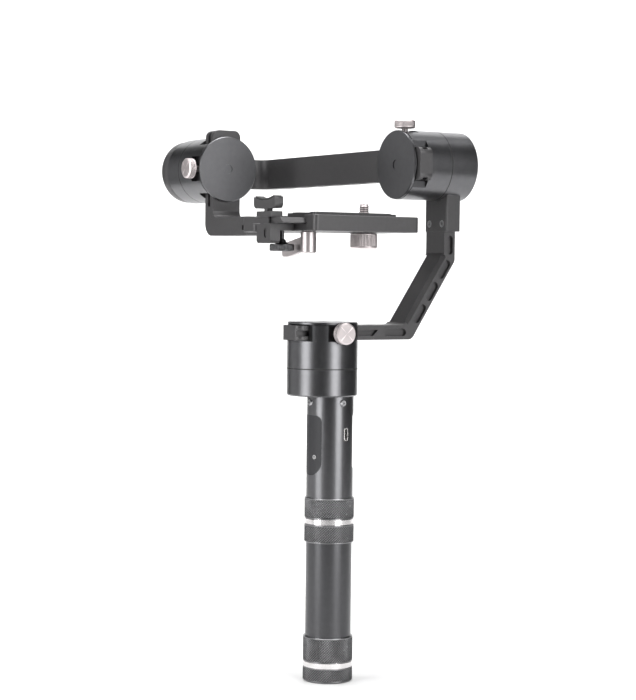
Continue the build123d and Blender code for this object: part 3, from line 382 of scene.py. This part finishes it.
# %% [markdown]
# ## Plastics and rubber
# Moulded plastic and rubber aren't metallic: they reflect a little white light over a dark body.
# The mould's fine texture is a bump, and rubber is rougher, with dust in its pores as pale specks.
# Edges turn paler, partly as wear and partly as a painted highlight.

# %% Plastics and rubber
MOULD_SCALE, HAND_SCALE = 2200.0, 60.0
PLASTIC_SWING, PLASTIC_DULL = 0.14, 0.06
SPECK_LOW, SPECK_HIGH = 0.55, 0.8
PLASTIC_WEAR_AND_HIGHLIGHT, COAT_ROUGHNESS = 0.5, 0.06


def paler(color, factor, lift):
    return (*[min(1, channel * factor + lift) for channel in color], 1)


def make_moulded(name, color, roughness, texture_depth=0.1, coat=0.0, dust=0.0):
    material, tree, shader = new_material(name)
    shader.inputs["Coat Weight"].default_value = coat
    shader.inputs["Coat Roughness"].default_value = COAT_ROUGHNESS
    spots = use_group(tree, grain, Scale=MOULD_SCALE)
    hands = use_group(tree, smudges, Scale=HAND_SCALE)
    rub_and_highlight = use_group(tree, edge_wear_and_highlight, Amount=PLASTIC_WEAR_AND_HIGHLIGHT)
    specks = ranged(tree, spots.outputs["Coarse"], SPECK_LOW, SPECK_HIGH, 0.0, dust)
    dusty = mix_color(tree, specks, (*color, 1), paler(color, 2.2, 0.05))
    # Paler edges: partly wear, partly a painted highlight.
    edge = mix_color(tree, rub_and_highlight.outputs["Mask"], dusty, paler(color, 1.8, 0.02))
    tree.links.new(edge, shader.inputs["Base Color"])
    tree.links.new(gloss(tree, spots, hands, roughness, PLASTIC_SWING, PLASTIC_DULL),
                   shader.inputs["Roughness"])
    normal = relief(tree, spots.outputs["Value"], texture_depth)
    tree.links.new(normal, shader.inputs["Normal"])
    return material


black_plastic = make_moulded("Black moulded plastic", (0.022, 0.022, 0.024), 0.45,
                             texture_depth=0.2)
window_plastic = make_moulded("Window plastic", (0.016, 0.016, 0.019), 0.55, texture_depth=0.12)
rubber = make_moulded("Rubber", (0.018, 0.018, 0.018), 0.7, texture_depth=0.35, dust=0.25)
cell_wrap = make_moulded("Battery wrap", (0.03, 0.09, 0.3), 0.3, texture_depth=0.02, coat=0.5)
board_green = make_moulded("Board", (0.01, 0.09, 0.03), 0.35, texture_depth=0.05, coat=0.4)
lamp_blue = make_moulded("Status lamp", (0.1, 0.25, 0.5), 0.2, texture_depth=0.0, coat=0.8)
pale_print = make_moulded("Pale print", (0.5, 0.5, 0.5), 0.4, texture_depth=0.05)
print("plastics ready")

# %% [markdown]
# ## Rounded edges on the CAD pieces
# No machined edge is perfectly sharp: it carries a hair-thin highlight. On the flat-sided arms a
# Bevel modifier rounds every edge sharper than its angle limit. Weld joins the vertices that the
# CAD import leaves doubled along edges first, because a bevel can't cross a gap. Tubes and motors
# keep the exact round shading that came with the CAD, and have their chamfers modelled already.

# %% Rounded edges
SOFT = 0.25 * MM
CRISP = 0.15 * MM
HAIRLINE = 0.08 * MM
JOIN_WITHIN = 2e-6
SHARPER_THAN = math.radians(38)


def soften(obj, width):
    weld = obj.modifiers.new("Weld", "WELD")
    weld.merge_threshold = JOIN_WITHIN
    bevel = obj.modifiers.new("Bevel", "BEVEL")
    bevel.width = width
    bevel.segments = 2
    bevel.limit_method = "ANGLE"
    bevel.angle_limit = SHARPER_THAN
    bevel.harden_normals = True
    bevel.use_clamp_overlap = True


print("arm edges are rounded by", SOFT, "m")

# %% [markdown]
# ## Dressing the CAD pieces
# Every CAD piece gets one finish and, where its sides are flat, a rounding width. A table keeps
# the whole product on one screen, so that it's easy to see which pieces share a finish.

# %% Finish of each CAD piece
FINISH = {
    "battery_tube": (battery_metal, 0), "control_tube": (tube_metal, 0),
    "pan_arm": (arm_metal, SOFT), "roll_arm": (arm_metal, SOFT), "tilt_arm": (arm_metal, SOFT),
    "roll_bracket": (arm_metal, SOFT), "camera_tray": (arm_metal, CRISP),
    "qr_plate": (arm_metal, CRISP), "lens_support": (arm_metal, SOFT),
    "lens_post": (arm_metal, SOFT), "qr_lever": (knob_metal, 0),
    "mid_band": (band_metal, 0), "end_cap_band": (band_metal, 0), "usb_port": (band_metal, 0),
    "front_window": (window_plastic, 0), "thumb_panel": (black_plastic, CRISP),
    "power_button": (black_plastic, 0), "mode_button": (black_plastic, 0),
    "joystick_cap": (rubber, 0), "joystick_gimbal": (black_plastic, 0),
    "lens_pad": (rubber, 0.1 * MM), "status_lights": (lamp_blue, 0),
    "tube_screws": (steel, HAIRLINE), "bracket_screws": (steel, HAIRLINE),
    "tray_screws": (steel, HAIRLINE), "tripod_bush": (steel, 0.1 * MM),
    "contact_plate": (board_green, 0), "main_board": (board_green, 0),
    "battery_cells": (cell_wrap, 0),
}
for motor, metal in (("pan", pan_metal), ("roll", roll_metal), ("tilt", tilt_metal)):
    for part in ("housing", "bell", "clamp", "clamp_plate"):
        FINISH[f"{motor}_{part}"] = (metal, 0)
    FINISH[f"{motor}_stator"] = (copper_core, 0)
    FINISH[f"{motor}_bearings"] = (steel, 0)
    FINISH[f"{motor}_magnets"] = (magnet_metal, 0)

for name, (material, width) in FINISH.items():
    piece = nodes[name]
    piece.data.materials.clear()
    piece.data.materials.append(material)
    if width:
        soften(piece, width)
print("dressed", len(FINISH), "CAD pieces")

# %% [markdown]
# ## Knurls
# A knurl is two families of V grooves that cross at a slant, rolled into the metal so that fingers
# grip it. It could be a bump map, but its silhouette and its sparkle come from real facets, so the
# surface's radius dips along the grooves. Straight knurls use one family only.

# %% Knurl depth
DIAMOND_WIDTH, STRAIGHT_WIDTH = 0.5, 0.55


def zigzag(value):
    """1 at whole numbers, 0 halfway between."""
    return abs(2 * (value % 1.0) - 1)


def knurl_depth(kind, around, along, count, pitch):
    """How deep the groove is here, from 0 on a facet's top to 1 at the bottom of a V."""
    turn = around / (2 * math.pi) * count
    if kind == "straight":
        return max(0.0, 1 - zigzag(turn) / STRAIGHT_WIDTH)
    rise = along / pitch
    return max(0.0, 1 - min(zigzag(turn + rise), zigzag(turn - rise)) / DIAMOND_WIDTH)


print("a diamond groove is", DIAMOND_WIDTH, "of its pitch wide")

# %% [markdown]
# ## Meshes into objects
# A shape is built as a bmesh, Blender's editable mesh, and then turned into an object. A turned
# piece stands on its own axis first, and a matrix lays that axis where the real piece's axis is.

# %% Objects
def to_object(name, mesh):
    """Turns a bmesh into an object in the scene, with flat faces."""
    data = bpy.data.meshes.new(name)
    mesh.to_mesh(data)
    mesh.free()
    obj = bpy.data.objects.new(name, data)
    bpy.context.scene.collection.objects.link(obj)
    return obj


def shade_smooth(obj):
    for polygon in obj.data.polygons:
        polygon.use_smooth = True
    return obj


def axis_place(origin, direction):
    """A matrix whose Z axis points along direction, at origin."""
    turn = Vector(direction).to_track_quat("Z", "Y").to_matrix().to_4x4()
    return Matrix.Translation(origin) @ turn


def dress(obj, material, body, node):
    """Gives a piece its finish, its body, and the CAD node whose place it takes."""
    obj.data.materials.append(material)
    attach(obj, body)
    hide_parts(node)
    return obj


print("object helpers ready")

# %% [markdown]
# ## A lathe that can knurl
# Knurled pieces are turned shapes, so one function makes them all from rows of radius and height.
# Each groove gets several vertices across it, and grooves fade out at the ends of a knurled
# stretch, as they do where the rolling wheel leaves the metal.

# %% Lathe
STEPS_PER_GROOVE = 6
FADE = 0.4 * MM
SMOOTH_UNDER = math.radians(32)


def lathe_levels(rows, pitch):
    """Splits knurled stretches into fine levels: radius, height, kind, and the stretch's ends."""
    levels = []
    for (r0, z0, kind), (r1, z1, _) in zip(rows, rows[1:]):
        steps = max(1, round(abs(z1 - z0) / (pitch / STEPS_PER_GROOVE))) if kind else 1
        for step in range(steps):
            share = step / steps
            levels.append((r0 + (r1 - r0) * share, z0 + (z1 - z0) * share, kind, z0, z1))
    levels.append((*rows[-1][:2], None, 0, 0))
    return levels


def lathe(name, place, rows, count, pitch, groove):
    """Turns rows of (radius, height, kind) about place's Z axis. A row with a kind starts a knurled
    stretch that runs to the next row."""
    around = count * STEPS_PER_GROOVE
    mesh = bmesh.new()
    rings = []
    for radius, height, kind, z0, z1 in lathe_levels(rows, pitch):
        ring = []
        fade = min(1.0, min(abs(height - z0), abs(z1 - height)) / FADE) if kind else 0.0
        for i in range(around):
            angle = 2 * math.pi * i / around
            dip = groove * fade * knurl_depth(kind, angle, height - z0, count, pitch) if kind else 0
            r = radius - dip
            ring.append(mesh.verts.new((r * math.cos(angle), r * math.sin(angle), height)))
        rings.append(ring)
    for low, high in zip(rings, rings[1:]):
        for i in range(around):
            j = (i + 1) % around
            mesh.faces.new((low[i], low[j], high[j], high[i]))
    mesh.faces.new(list(reversed(rings[0])))
    mesh.faces.new(rings[-1])
    obj = to_object(name, mesh)
    obj.data.transform(place)
    obj.data.set_sharp_from_angle(angle=SMOOTH_UNDER)
    return shade_smooth(obj)


def close_bore(obj):
    """Joins the first and last ring of a profile that returns to its start, without caps."""
    mesh = bmesh.new()
    mesh.from_mesh(obj.data)
    caps = [face for face in mesh.faces if len(face.verts) > 4]
    bmesh.ops.delete(mesh, geom=caps, context="FACES_ONLY")
    bmesh.ops.remove_doubles(mesh, verts=mesh.verts, dist=SAME_POINT)
    bmesh.ops.recalc_face_normals(mesh, faces=mesh.faces)
    mesh.to_mesh(obj.data)
    mesh.free()
    return obj


def tube_lathe(name, place, rows, inner, count, pitch, groove):
    """As lathe, with a plain bore: the rows are closed by an inner wall."""
    bottom, top = rows[0][1], rows[-1][1]
    full = [(inner, bottom, None), *rows, (inner, top, None), (inner, bottom, None)]
    return close_bore(lathe(name, place, full, count, pitch, groove))


SAME_POINT = 1e-7
print("lathe ready,", STEPS_PER_GROOVE, "steps per groove")

# %% [markdown]
# ## Grip rings
# Two knurled rings meet at a bright band where the battery tube screws into the control tube. Each
# ring is placed by its CAD box, so the knurl stays on the real piece's size.

# %% Grip rings
GRIP_R = 15.7 * MM
PITCH = 1.6 * MM
GRIP_COUNT = 60
GROOVE = 0.42 * MM
LIP = 0.4 * MM
LAND = 0.35 * MM


def ring_rows(low, high, radius, lip_low=LIP, lip_high=LIP):
    """A knurled outside between two lips: chamfer, plain land, knurl, land, chamfer."""
    start, end = low + lip_low, high - lip_high
    return [(radius - lip_low, low, None), (radius, start, None),
            (radius, start + LAND, "diamond"), (radius, end - LAND, None),
            (radius, end, None), (radius - lip_high, high, None)]


for node, title, bore in (("mid_ring_lower", "knurled_ring_lower", 14.5 * MM),
                          ("mid_ring_upper", "knurled_ring_upper", 14.05 * MM)):
    low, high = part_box(node)
    ring = tube_lathe(title, Matrix.Identity(4), ring_rows(low.z, high.z, GRIP_R), bore,
                      GRIP_COUNT, PITCH, GROOVE)
    dress(ring, knurl_metal, "handle", node)
    print(title, len(ring.data.polygons), "faces")

# %% [markdown]
# ## End cap
# The cap has the same knurl above and below its own bright band, a bore that slips over the
# battery tube, and a hole for the tripod bush. Its profile goes up the outside and down the
# inside.

# %% End cap
BUSH_R = 6.0 * MM
CAP_BORE_R = 14.56 * MM
CAP_FLOOR = 8.5 * MM
BAND_STEP, BAND_LIP = 0.7 * MM, 0.2 * MM
cap_low, cap_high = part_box("end_cap")
band_low, band_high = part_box("end_cap_band")
profile = [(BUSH_R, 0.0, None), *ring_rows(cap_low.z, band_low.z, GRIP_R, BAND_STEP, BAND_LIP),
           (GRIP_R - BAND_STEP, band_low.z, None), (GRIP_R - BAND_STEP, band_high.z, None),
           *ring_rows(band_high.z, cap_high.z, GRIP_R, BAND_LIP, LIP),
           (CAP_BORE_R, cap_high.z, None), (CAP_BORE_R, CAP_FLOOR, None),
           (BUSH_R, CAP_FLOOR, None), (BUSH_R, 0.0, None)]
cap = close_bore(lathe("end_cap_knurled", Matrix.Identity(4), profile, GRIP_COUNT, PITCH, GROOVE))
dress(cap, knurl_metal, "end_cap", "end_cap")
print("end cap:", len(cap.data.polygons), "faces")

# %% [markdown]
# ## Indicator
# Low on the front window sits a small indicator: a flat ring around a dot. It's a tiny disc of
# mesh bent to the window's radius, so that it lies on the curved panel.

# %% Indicator
MARK_X = 4.2 * MM
MARK_SHARE = 0.31
MARK_PROUD = 0.03 * MM
MARK_SEGMENTS = 24


def window_mark(name, z, inner, outer, skin):
    """A flat ring (or a dot, with inner 0) wrapped on a cylinder of radius skin, facing -Y."""
    mesh = bmesh.new()
    loops = []
    for radius in (inner, outer):
        loop = []
        for i in range(MARK_SEGMENTS):
            a = 2 * math.pi * i / MARK_SEGMENTS
            x = MARK_X + radius * math.cos(a)
            y = -math.sqrt(skin ** 2 - x ** 2)
            loop.append(mesh.verts.new((x, y, z + radius * math.sin(a))))
        loops.append(loop)
    for i in range(MARK_SEGMENTS):
        j = (i + 1) % MARK_SEGMENTS
        mesh.faces.new((loops[0][i], loops[0][j], loops[1][j], loops[1][i]))
    bmesh.ops.remove_doubles(mesh, verts=mesh.verts, dist=SAME_POINT)
    obj = to_object(name, mesh)
    obj.data.materials.append(pale_print)
    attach(obj, "handle")
    return obj


window_low, window_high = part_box("front_window")
skin = -window_low.y + MARK_PROUD
mark_z = window_low.z + MARK_SHARE * (window_high.z - window_low.z)
window_mark("indicator_ring", mark_z, 0.9 * MM, 1.3 * MM, skin)
window_mark("indicator_dot", mark_z, 0.0, 0.45 * MM, skin)
print("indicator at z", round(mark_z, 4))

# %% [markdown]
# ## Socket rim
# The charging socket has a bright pressed rim. A curve follows the socket's race-track outline
# around the tube, and its round bevel gives the rim its thickness.

# %% Socket rim
USB_ANGLE = math.radians(11)
RIM_HALF_HEIGHT, RIM_HALF_WIDTH, RIM_THICK = 3.9 * MM, 1.35 * MM, 0.24 * MM
TUBE_R = 14.75 * MM
RIM_POINTS = 32
usb_low, usb_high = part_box("usb_port")
usb_z = (usb_low.z + usb_high.z) / 2
path = []
for i in range(RIM_POINTS):
    a = 2 * math.pi * i / RIM_POINTS
    straight = math.copysign(RIM_HALF_HEIGHT - RIM_HALF_WIDTH, math.sin(a))
    turn = USB_ANGLE + RIM_HALF_WIDTH * math.cos(a) / TUBE_R
    height = usb_z + straight + RIM_HALF_WIDTH * math.sin(a)
    path.append((TUBE_R * math.cos(turn), TUBE_R * math.sin(turn), height))
rim_curve = bpy.data.curves.new("usb_rim", "CURVE")
rim_curve.dimensions = "3D"
rim_curve.bevel_depth = RIM_THICK
rim_curve.bevel_resolution = 3
spline = rim_curve.splines.new("POLY")
spline.points.add(len(path) - 1)
for point, place in zip(spline.points, path):
    point.co = (*place, 1)
spline.use_cyclic_u = True
rim_curve.materials.append(band_metal)
usb_rim = bpy.data.objects.new("usb_rim", rim_curve)
bpy.context.scene.collection.objects.link(usb_rim)
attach(usb_rim, "handle")
print("socket rim at z", round(usb_z, 4))

# %% [markdown]
# ## Painted shade at the motor seams
# Where each motor's bell meets its housing there's a thin gap that lies in shade. A black ring
# paints that shade: it stands out by a few hundredths of a millimetre, just enough to read as a
# crisp dark line.

# %% Painted shade at the motor seams
MOTOR_R = 22.27 * MM
CLAMP_TO_SEAM = 17.3 * MM
SEAM_SHADOW_PROUD, SEAM_SHADOW_HALF, SEAM_SHADOW_DEPTH = 0.03 * MM, 0.3 * MM, 1.0 * MM
SEAM_SHADOW_COUNT = 24
for motor, body, direction in (("pan", "handle", (0, 0, 1)), ("roll", "pan_arm", (0, -1, 0)),
                               ("tilt", "roll_arm", (1, 0, 0))):
    aim = Vector(direction)
    low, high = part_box(f"{motor}_bell")
    clamp_low, clamp_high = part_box(f"{motor}_clamp")
    seam = min(clamp_low.dot(aim), clamp_high.dot(aim)) - CLAMP_TO_SEAM
    centre = (low + high) / 2
    place = axis_place(centre - aim * centre.dot(aim), direction)
    rows = [(MOTOR_R + SEAM_SHADOW_PROUD, seam - SEAM_SHADOW_HALF, None),
            (MOTOR_R + SEAM_SHADOW_PROUD, seam + SEAM_SHADOW_HALF, None)]
    # A black ring in the rubber finish is painted shade for the gap at the seam.
    seam_shadow_ring = tube_lathe(f"{motor}_seal", place, rows, MOTOR_R - SEAM_SHADOW_DEPTH, SEAM_SHADOW_COUNT, PITCH, 0)
    seam_shadow_ring.data.materials.append(rubber)
    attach(seam_shadow_ring, body)
    print(f"{motor} seal at", round(seam, 4), "along its axis")

# %% [markdown]
# ## Clamp thumbscrews
# The three arm clamps share one silver thumbscrew: a knurled head with a flat turned face, and a
# plain stem that goes through the clamp.

# %% Clamp thumbscrews
KNOB_R, KNOB_HEAD, KNOB_STEM_R = 6.75 * MM, 5.4 * MM, 2.0 * MM


def clamp_knob(node, body, direction):
    low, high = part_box(node)
    middle = (low + high) / 2
    aim = Vector(direction)
    outer = max(low.dot(aim), high.dot(aim))
    inner = min(low.dot(aim), high.dot(aim))
    back = outer - KNOB_HEAD
    place = axis_place(middle - aim * middle.dot(aim), direction)
    rows = [(0.3 * MM, inner, None), (KNOB_STEM_R, inner, None), (KNOB_STEM_R, back, None),
            (KNOB_R - 0.8 * MM, back, None), (KNOB_R, back + 0.6 * MM, None),
            (KNOB_R, back + 0.9 * MM, "diamond"), (KNOB_R, outer - 1.2 * MM, None),
            (KNOB_R, outer - 0.9 * MM, None), (KNOB_R - 0.8 * MM, outer - 0.1 * MM, None),
            (KNOB_R - 0.95 * MM, outer, None), (KNOB_R - 1.1 * MM, outer, None),
            (0.2 * MM, outer, None)]
    knob = lathe(f"{node}_knurled", place, rows, 36, 1.2 * MM, 0.26 * MM)
    return dress(knob, knob_grip, body, node)


clamp_knob("pan_knob", "pan_knob", (1, 0, 0))
clamp_knob("roll_knob", "roll_knob", (0, 0, 1))
clamp_knob("tilt_knob", "tilt_knob", (0, -1, 0))
print("three thumbscrews,", KNOB_R * 2, "m across")

# %% [markdown]
# ## Camera screw
# The camera's screw is a straight-knurled drum under the tray, with a thin captive shank and a
# threaded stud. The thread is drawn as rings, not as a helix: at this size only its ribs show.

# %% Camera screw
DRUM_R, DRUM_HEIGHT = 8.6 * MM, 9.7 * MM
STUD_R, SHANK_R, THREAD_LENGTH = 3.15 * MM, 2.5 * MM, 5.9 * MM
THREAD_STEP, THREAD_TURNS, THREAD_DEPTH = 1.27 * MM, 4, 0.5 * MM
DRUM_EDGE, DRUM_GROOVES = 0.7 * MM, 54
STRAIGHT_PITCH, STRAIGHT_GROOVE = 1.0 * MM, 0.22 * MM


def upright(low, high):
    """A matrix that puts a shape's Z axis up the middle of a CAD box."""
    return Matrix.Translation(((low.x + high.x) / 2, (low.y + high.y) / 2, 0))


low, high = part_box("camera_screw")
top = low.z + DRUM_HEIGHT
dish = low.z + 0.5 * MM
rows = [(0.2 * MM, dish, None), (DRUM_R - 2.6 * MM, dish, None),
        (DRUM_R - 2.2 * MM, low.z, None), (DRUM_R - DRUM_EDGE, low.z, None),
        (DRUM_R, low.z + DRUM_EDGE, None), (DRUM_R, low.z + 1.0 * MM, "straight"),
        (DRUM_R, top - 1.0 * MM, None), (DRUM_R, top - DRUM_EDGE, None),
        (DRUM_R - DRUM_EDGE, top, None), (SHANK_R, top, None),
        (SHANK_R, high.z - THREAD_LENGTH, None)]
for turn in range(THREAD_TURNS):
    base = high.z - THREAD_LENGTH + turn * THREAD_STEP
    rows += [(STUD_R - THREAD_DEPTH, base + 0.05 * MM, None), (STUD_R, base + 0.5 * MM, None),
             (STUD_R, base + 0.7 * MM, None), (STUD_R - THREAD_DEPTH, base + 1.15 * MM, None)]
rows += [(STUD_R - 0.6 * MM, high.z, None), (0.2 * MM, high.z, None)]
drum = lathe("camera_screw_knurled", upright(low, high), rows, DRUM_GROOVES, STRAIGHT_PITCH,
             STRAIGHT_GROOVE)
dress(drum, knob_grip, "camera_screw", "camera_screw")
print("camera screw:", len(drum.data.polygons), "faces")

# %% [markdown]
# ## Lens lock
# The lens support is locked by a small dark knob: a straight-knurled disc, a cone, and a thin
# stem.

# %% Lens lock
LOCK_R, LOCK_GROOVES, LOCK_STEM_R = 7.65 * MM, 48, 1.4 * MM
low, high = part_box("lens_lock_knob")
heights = [(0.2 * MM, 0.0), (LOCK_R - 0.5 * MM, 0.0), (LOCK_R, 0.5 * MM), (LOCK_R, 0.7 * MM),
           (LOCK_R, 3.8 * MM), (LOCK_R, 4.0 * MM), (LOCK_R - 0.5 * MM, 4.5 * MM),
           (4.6 * MM, 4.5 * MM), (3.0 * MM, 5.4 * MM), (2.2 * MM, 7.1 * MM),
           (LOCK_STEM_R, 7.6 * MM)]
rows = [(radius, low.z + height, "straight" if height == 0.7 * MM else None)
        for radius, height in heights]
rows += [(LOCK_STEM_R, high.z, None), (0.2 * MM, high.z, None)]
lock = lathe("lens_lock_knurled", upright(low, high), rows, LOCK_GROOVES, STRAIGHT_PITCH,
             STRAIGHT_GROOVE)
dress(lock, dark_knurl, "lens_lock_knob", "lens_lock_knob")
print("lens lock:", len(lock.data.polygons), "faces")

# %% [markdown]
# ## Ribbed camera pads
# The rubber pads keep the camera from twisting. They're soft strips with fine cross ribs, made as
# one grid whose height follows a wave, with its border turned down into the plate's groove.

# %% Ribbed camera pads
PAD_WIDTH, RIB, RIB_DEPTH = 8.0 * MM, 1.6 * MM, 0.22 * MM
PAD_COLUMNS, STEPS_PER_RIB = 10, 6


def ribbed_pad(name, low, high):
    along = round((high.y - low.y) / RIB * STEPS_PER_RIB)
    mesh = bmesh.new()
    grid = []
    for j in range(along + 1):
        row = []
        y = low.y + (high.y - low.y) * j / along
        wave = (0.5 - 0.5 * math.cos(2 * math.pi * (y - low.y) / RIB)) * RIB_DEPTH
        for i in range(PAD_COLUMNS + 1):
            x = low.x + (high.x - low.x) * i / PAD_COLUMNS
            border = i in (0, PAD_COLUMNS) or j in (0, along)
            row.append(mesh.verts.new((x, y, low.z if border else high.z - wave)))
        grid.append(row)
    for j in range(along):
        for i in range(PAD_COLUMNS):
            mesh.faces.new((grid[j][i], grid[j][i + 1], grid[j + 1][i + 1], grid[j + 1][i]))
    return shade_smooth(to_object(name, mesh))


low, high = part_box("qr_pads")
left = ribbed_pad("pad_left", low, Vector((low.x + PAD_WIDTH, high.y, high.z)))
right = ribbed_pad("pad_right", Vector((high.x - PAD_WIDTH, low.y, low.z)), high)
for pad in (left, right):
    pad.data.materials.append(rubber)
    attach(pad, "qr_plate")
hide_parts("qr_pads")
print("pads", len(left.data.polygons) * 2, "faces")

# %% [markdown]
# ## Studio sweep
# The product stands on a pale sweep: a floor that curves up into a wall behind, so there is no
# horizon. It's kept narrow, so that little of it is reflected in the sides of the tubes.

# %% Studio sweep
CAMERA_AZIMUTH = math.radians(58.0)
UP = Vector((0, 0, 1))
toward = Vector((math.sin(CAMERA_AZIMUTH), -math.cos(CAMERA_AZIMUTH), 0))
rightward = Vector((math.cos(CAMERA_AZIMUTH), math.sin(CAMERA_AZIMUTH), 0))
HALF_WIDTH, FRONT, BACK, BEND, HEIGHT = 0.8, 0.7, 1.5, 0.7, 2.4
BEND_STEPS = 16

paper, tree, shader = new_material("Studio sweep")
shader.inputs["Roughness"].default_value = 0.9
fibre = add(tree, "ShaderNodeTexNoise", Scale=3.0, Detail=2.0)
tree.links.new(ranged(tree, fibre.outputs["Fac"], 0.0, 1.0, 0.86, 0.9),
               shader.inputs["Base Color"])

outline = [(FRONT, 0.0), (-BACK + BEND, 0.0)]
for step in range(1, BEND_STEPS + 1):
    a = math.pi / 2 * step / BEND_STEPS
    outline.append((-BACK + BEND - BEND * math.sin(a), BEND * (1 - math.cos(a))))
outline.append((-BACK, HEIGHT))
mesh = bmesh.new()
edges = [[mesh.verts.new(toward * reach + rightward * side * HALF_WIDTH + UP * z)
          for side in (-1, 1)] for reach, z in outline]
for a, b in zip(edges, edges[1:]):
    mesh.faces.new((a[0], a[1], b[1], b[0]))
sweep = shade_smooth(to_object("sweep", mesh))
sweep.data.materials.append(paper)
print("sweep", HALF_WIDTH * 2, "m wide")

# %% [markdown]
# ## Lights
# Satin metal mostly shows what it reflects. Two tall strip lights stand either side of the camera
# and draw the two long highlights down the handle. A dim fill opens the far left side, a large
# light overhead models the top faces, and a wash keeps the wall white.

# %% Lights
def area_light(name, width, height, power, location, target):
    """A rectangular light at location that faces target."""
    data = bpy.data.lights.new(name, "AREA")
    data.shape = "RECTANGLE"
    data.size, data.size_y = width, height
    data.energy = power
    obj = bpy.data.objects.new(name, data)
    obj.location = location
    obj.rotation_euler = (target - obj.location).to_track_quat("-Z", "Y").to_euler()
    bpy.context.scene.collection.objects.link(obj)
    return obj


def strip_light(name, angle, distance, width, height, centre_z, power):
    """A tall light, at an angle from the camera's direction, that faces the handle."""
    a = math.radians(angle)
    target = UP * centre_z
    location = (toward * math.cos(a) + rightward * math.sin(a)) * distance + target
    return area_light(name, width, height, power, location, target)


strip_light("strip left", -55, 1.5, 0.74, 2.2, 0.3, 28)
strip_light("strip right", 43, 1.5, 0.68, 2.2, 0.3, 27)
strip_light("left fill", -105, 1.7, 1.2, 1.6, 0.45, 4)
overhead = area_light("overhead", 1.6, 1.6, 20, Vector((-0.1, 0.1, 1.9)), Vector((-0.1, 0.1, 0)))
overhead.rotation_euler = (0, 0, 0)
area_light("wall wash", 2.4, 0.5, 60, toward * -0.2 + UP * 2.5, toward * -BACK + UP * 0.8)
print("five lights")

# %% [markdown]
# ## Room
# The room around the sweep is dark in reflections, so that the sides of the tubes stay deep grey,
# but pale to the camera, so that the picture's background is even. Light Path tells the two
# apart.

# %% Room
world = bpy.data.worlds.new("Studio dark")
world.use_nodes = True
room = world.node_tree
dark = room.nodes["Background"]
dark.inputs["Color"].default_value = (0.55, 0.56, 0.58, 1)
dark.inputs["Strength"].default_value = 0.09
pale = add(room, "ShaderNodeBackground", Color=(0.93, 0.93, 0.93, 1), Strength=1.0)
seen = add(room, "ShaderNodeLightPath")
blend = room.nodes.new("ShaderNodeMixShader")
room.links.new(seen.outputs["Is Camera Ray"], blend.inputs["Fac"])
room.links.new(dark.outputs["Background"], blend.inputs[1])
room.links.new(pale.outputs["Background"], blend.inputs[2])
room.links.new(blend.outputs["Shader"], room.nodes["World Output"].inputs["Surface"])
bpy.context.scene.world = world
bpy.context.scene.view_settings.view_transform = "Standard"
print("room ready")

# %% [markdown]
# ## Camera
# A long lens, 1.2 m away and a little above the middle, keeps the verticals straight. The frame
# is rolled by a fraction of a degree, as a hand-levelled tripod would be. The camera's matrix is
# built from its own right, up and backward directions.

# %% Camera
DISTANCE, EYE = 1.197, 0.25826
LENS, SENSOR = 97.714286, 36
pitch, yaw, roll = math.radians(2.355), math.radians(0.391), math.radians(0.63)
heading = -toward * math.cos(yaw) - rightward * math.sin(yaw)
side = rightward * math.cos(yaw) - toward * math.sin(yaw)
look = heading * math.cos(pitch) - UP * math.sin(pitch)
lift = UP * math.cos(pitch) + heading * math.sin(pitch)
across = side * math.cos(roll) + lift * math.sin(roll)
upward = lift * math.cos(roll) - side * math.sin(roll)
camera_data = bpy.data.cameras.new("camera")
camera_data.lens = LENS
camera_data.sensor_width = SENSOR
camera_data.clip_start = 0.05
camera = bpy.data.objects.new("camera", camera_data)
bpy.context.scene.collection.objects.link(camera)
spot = toward * DISTANCE + UP * EYE
camera.matrix_world = Matrix(
    [(across[i], upward[i], -look[i], spot[i]) for i in range(3)] + [(0, 0, 0, 1)])
bpy.context.scene.camera = camera
print("camera at", [round(v, 3) for v in spot])
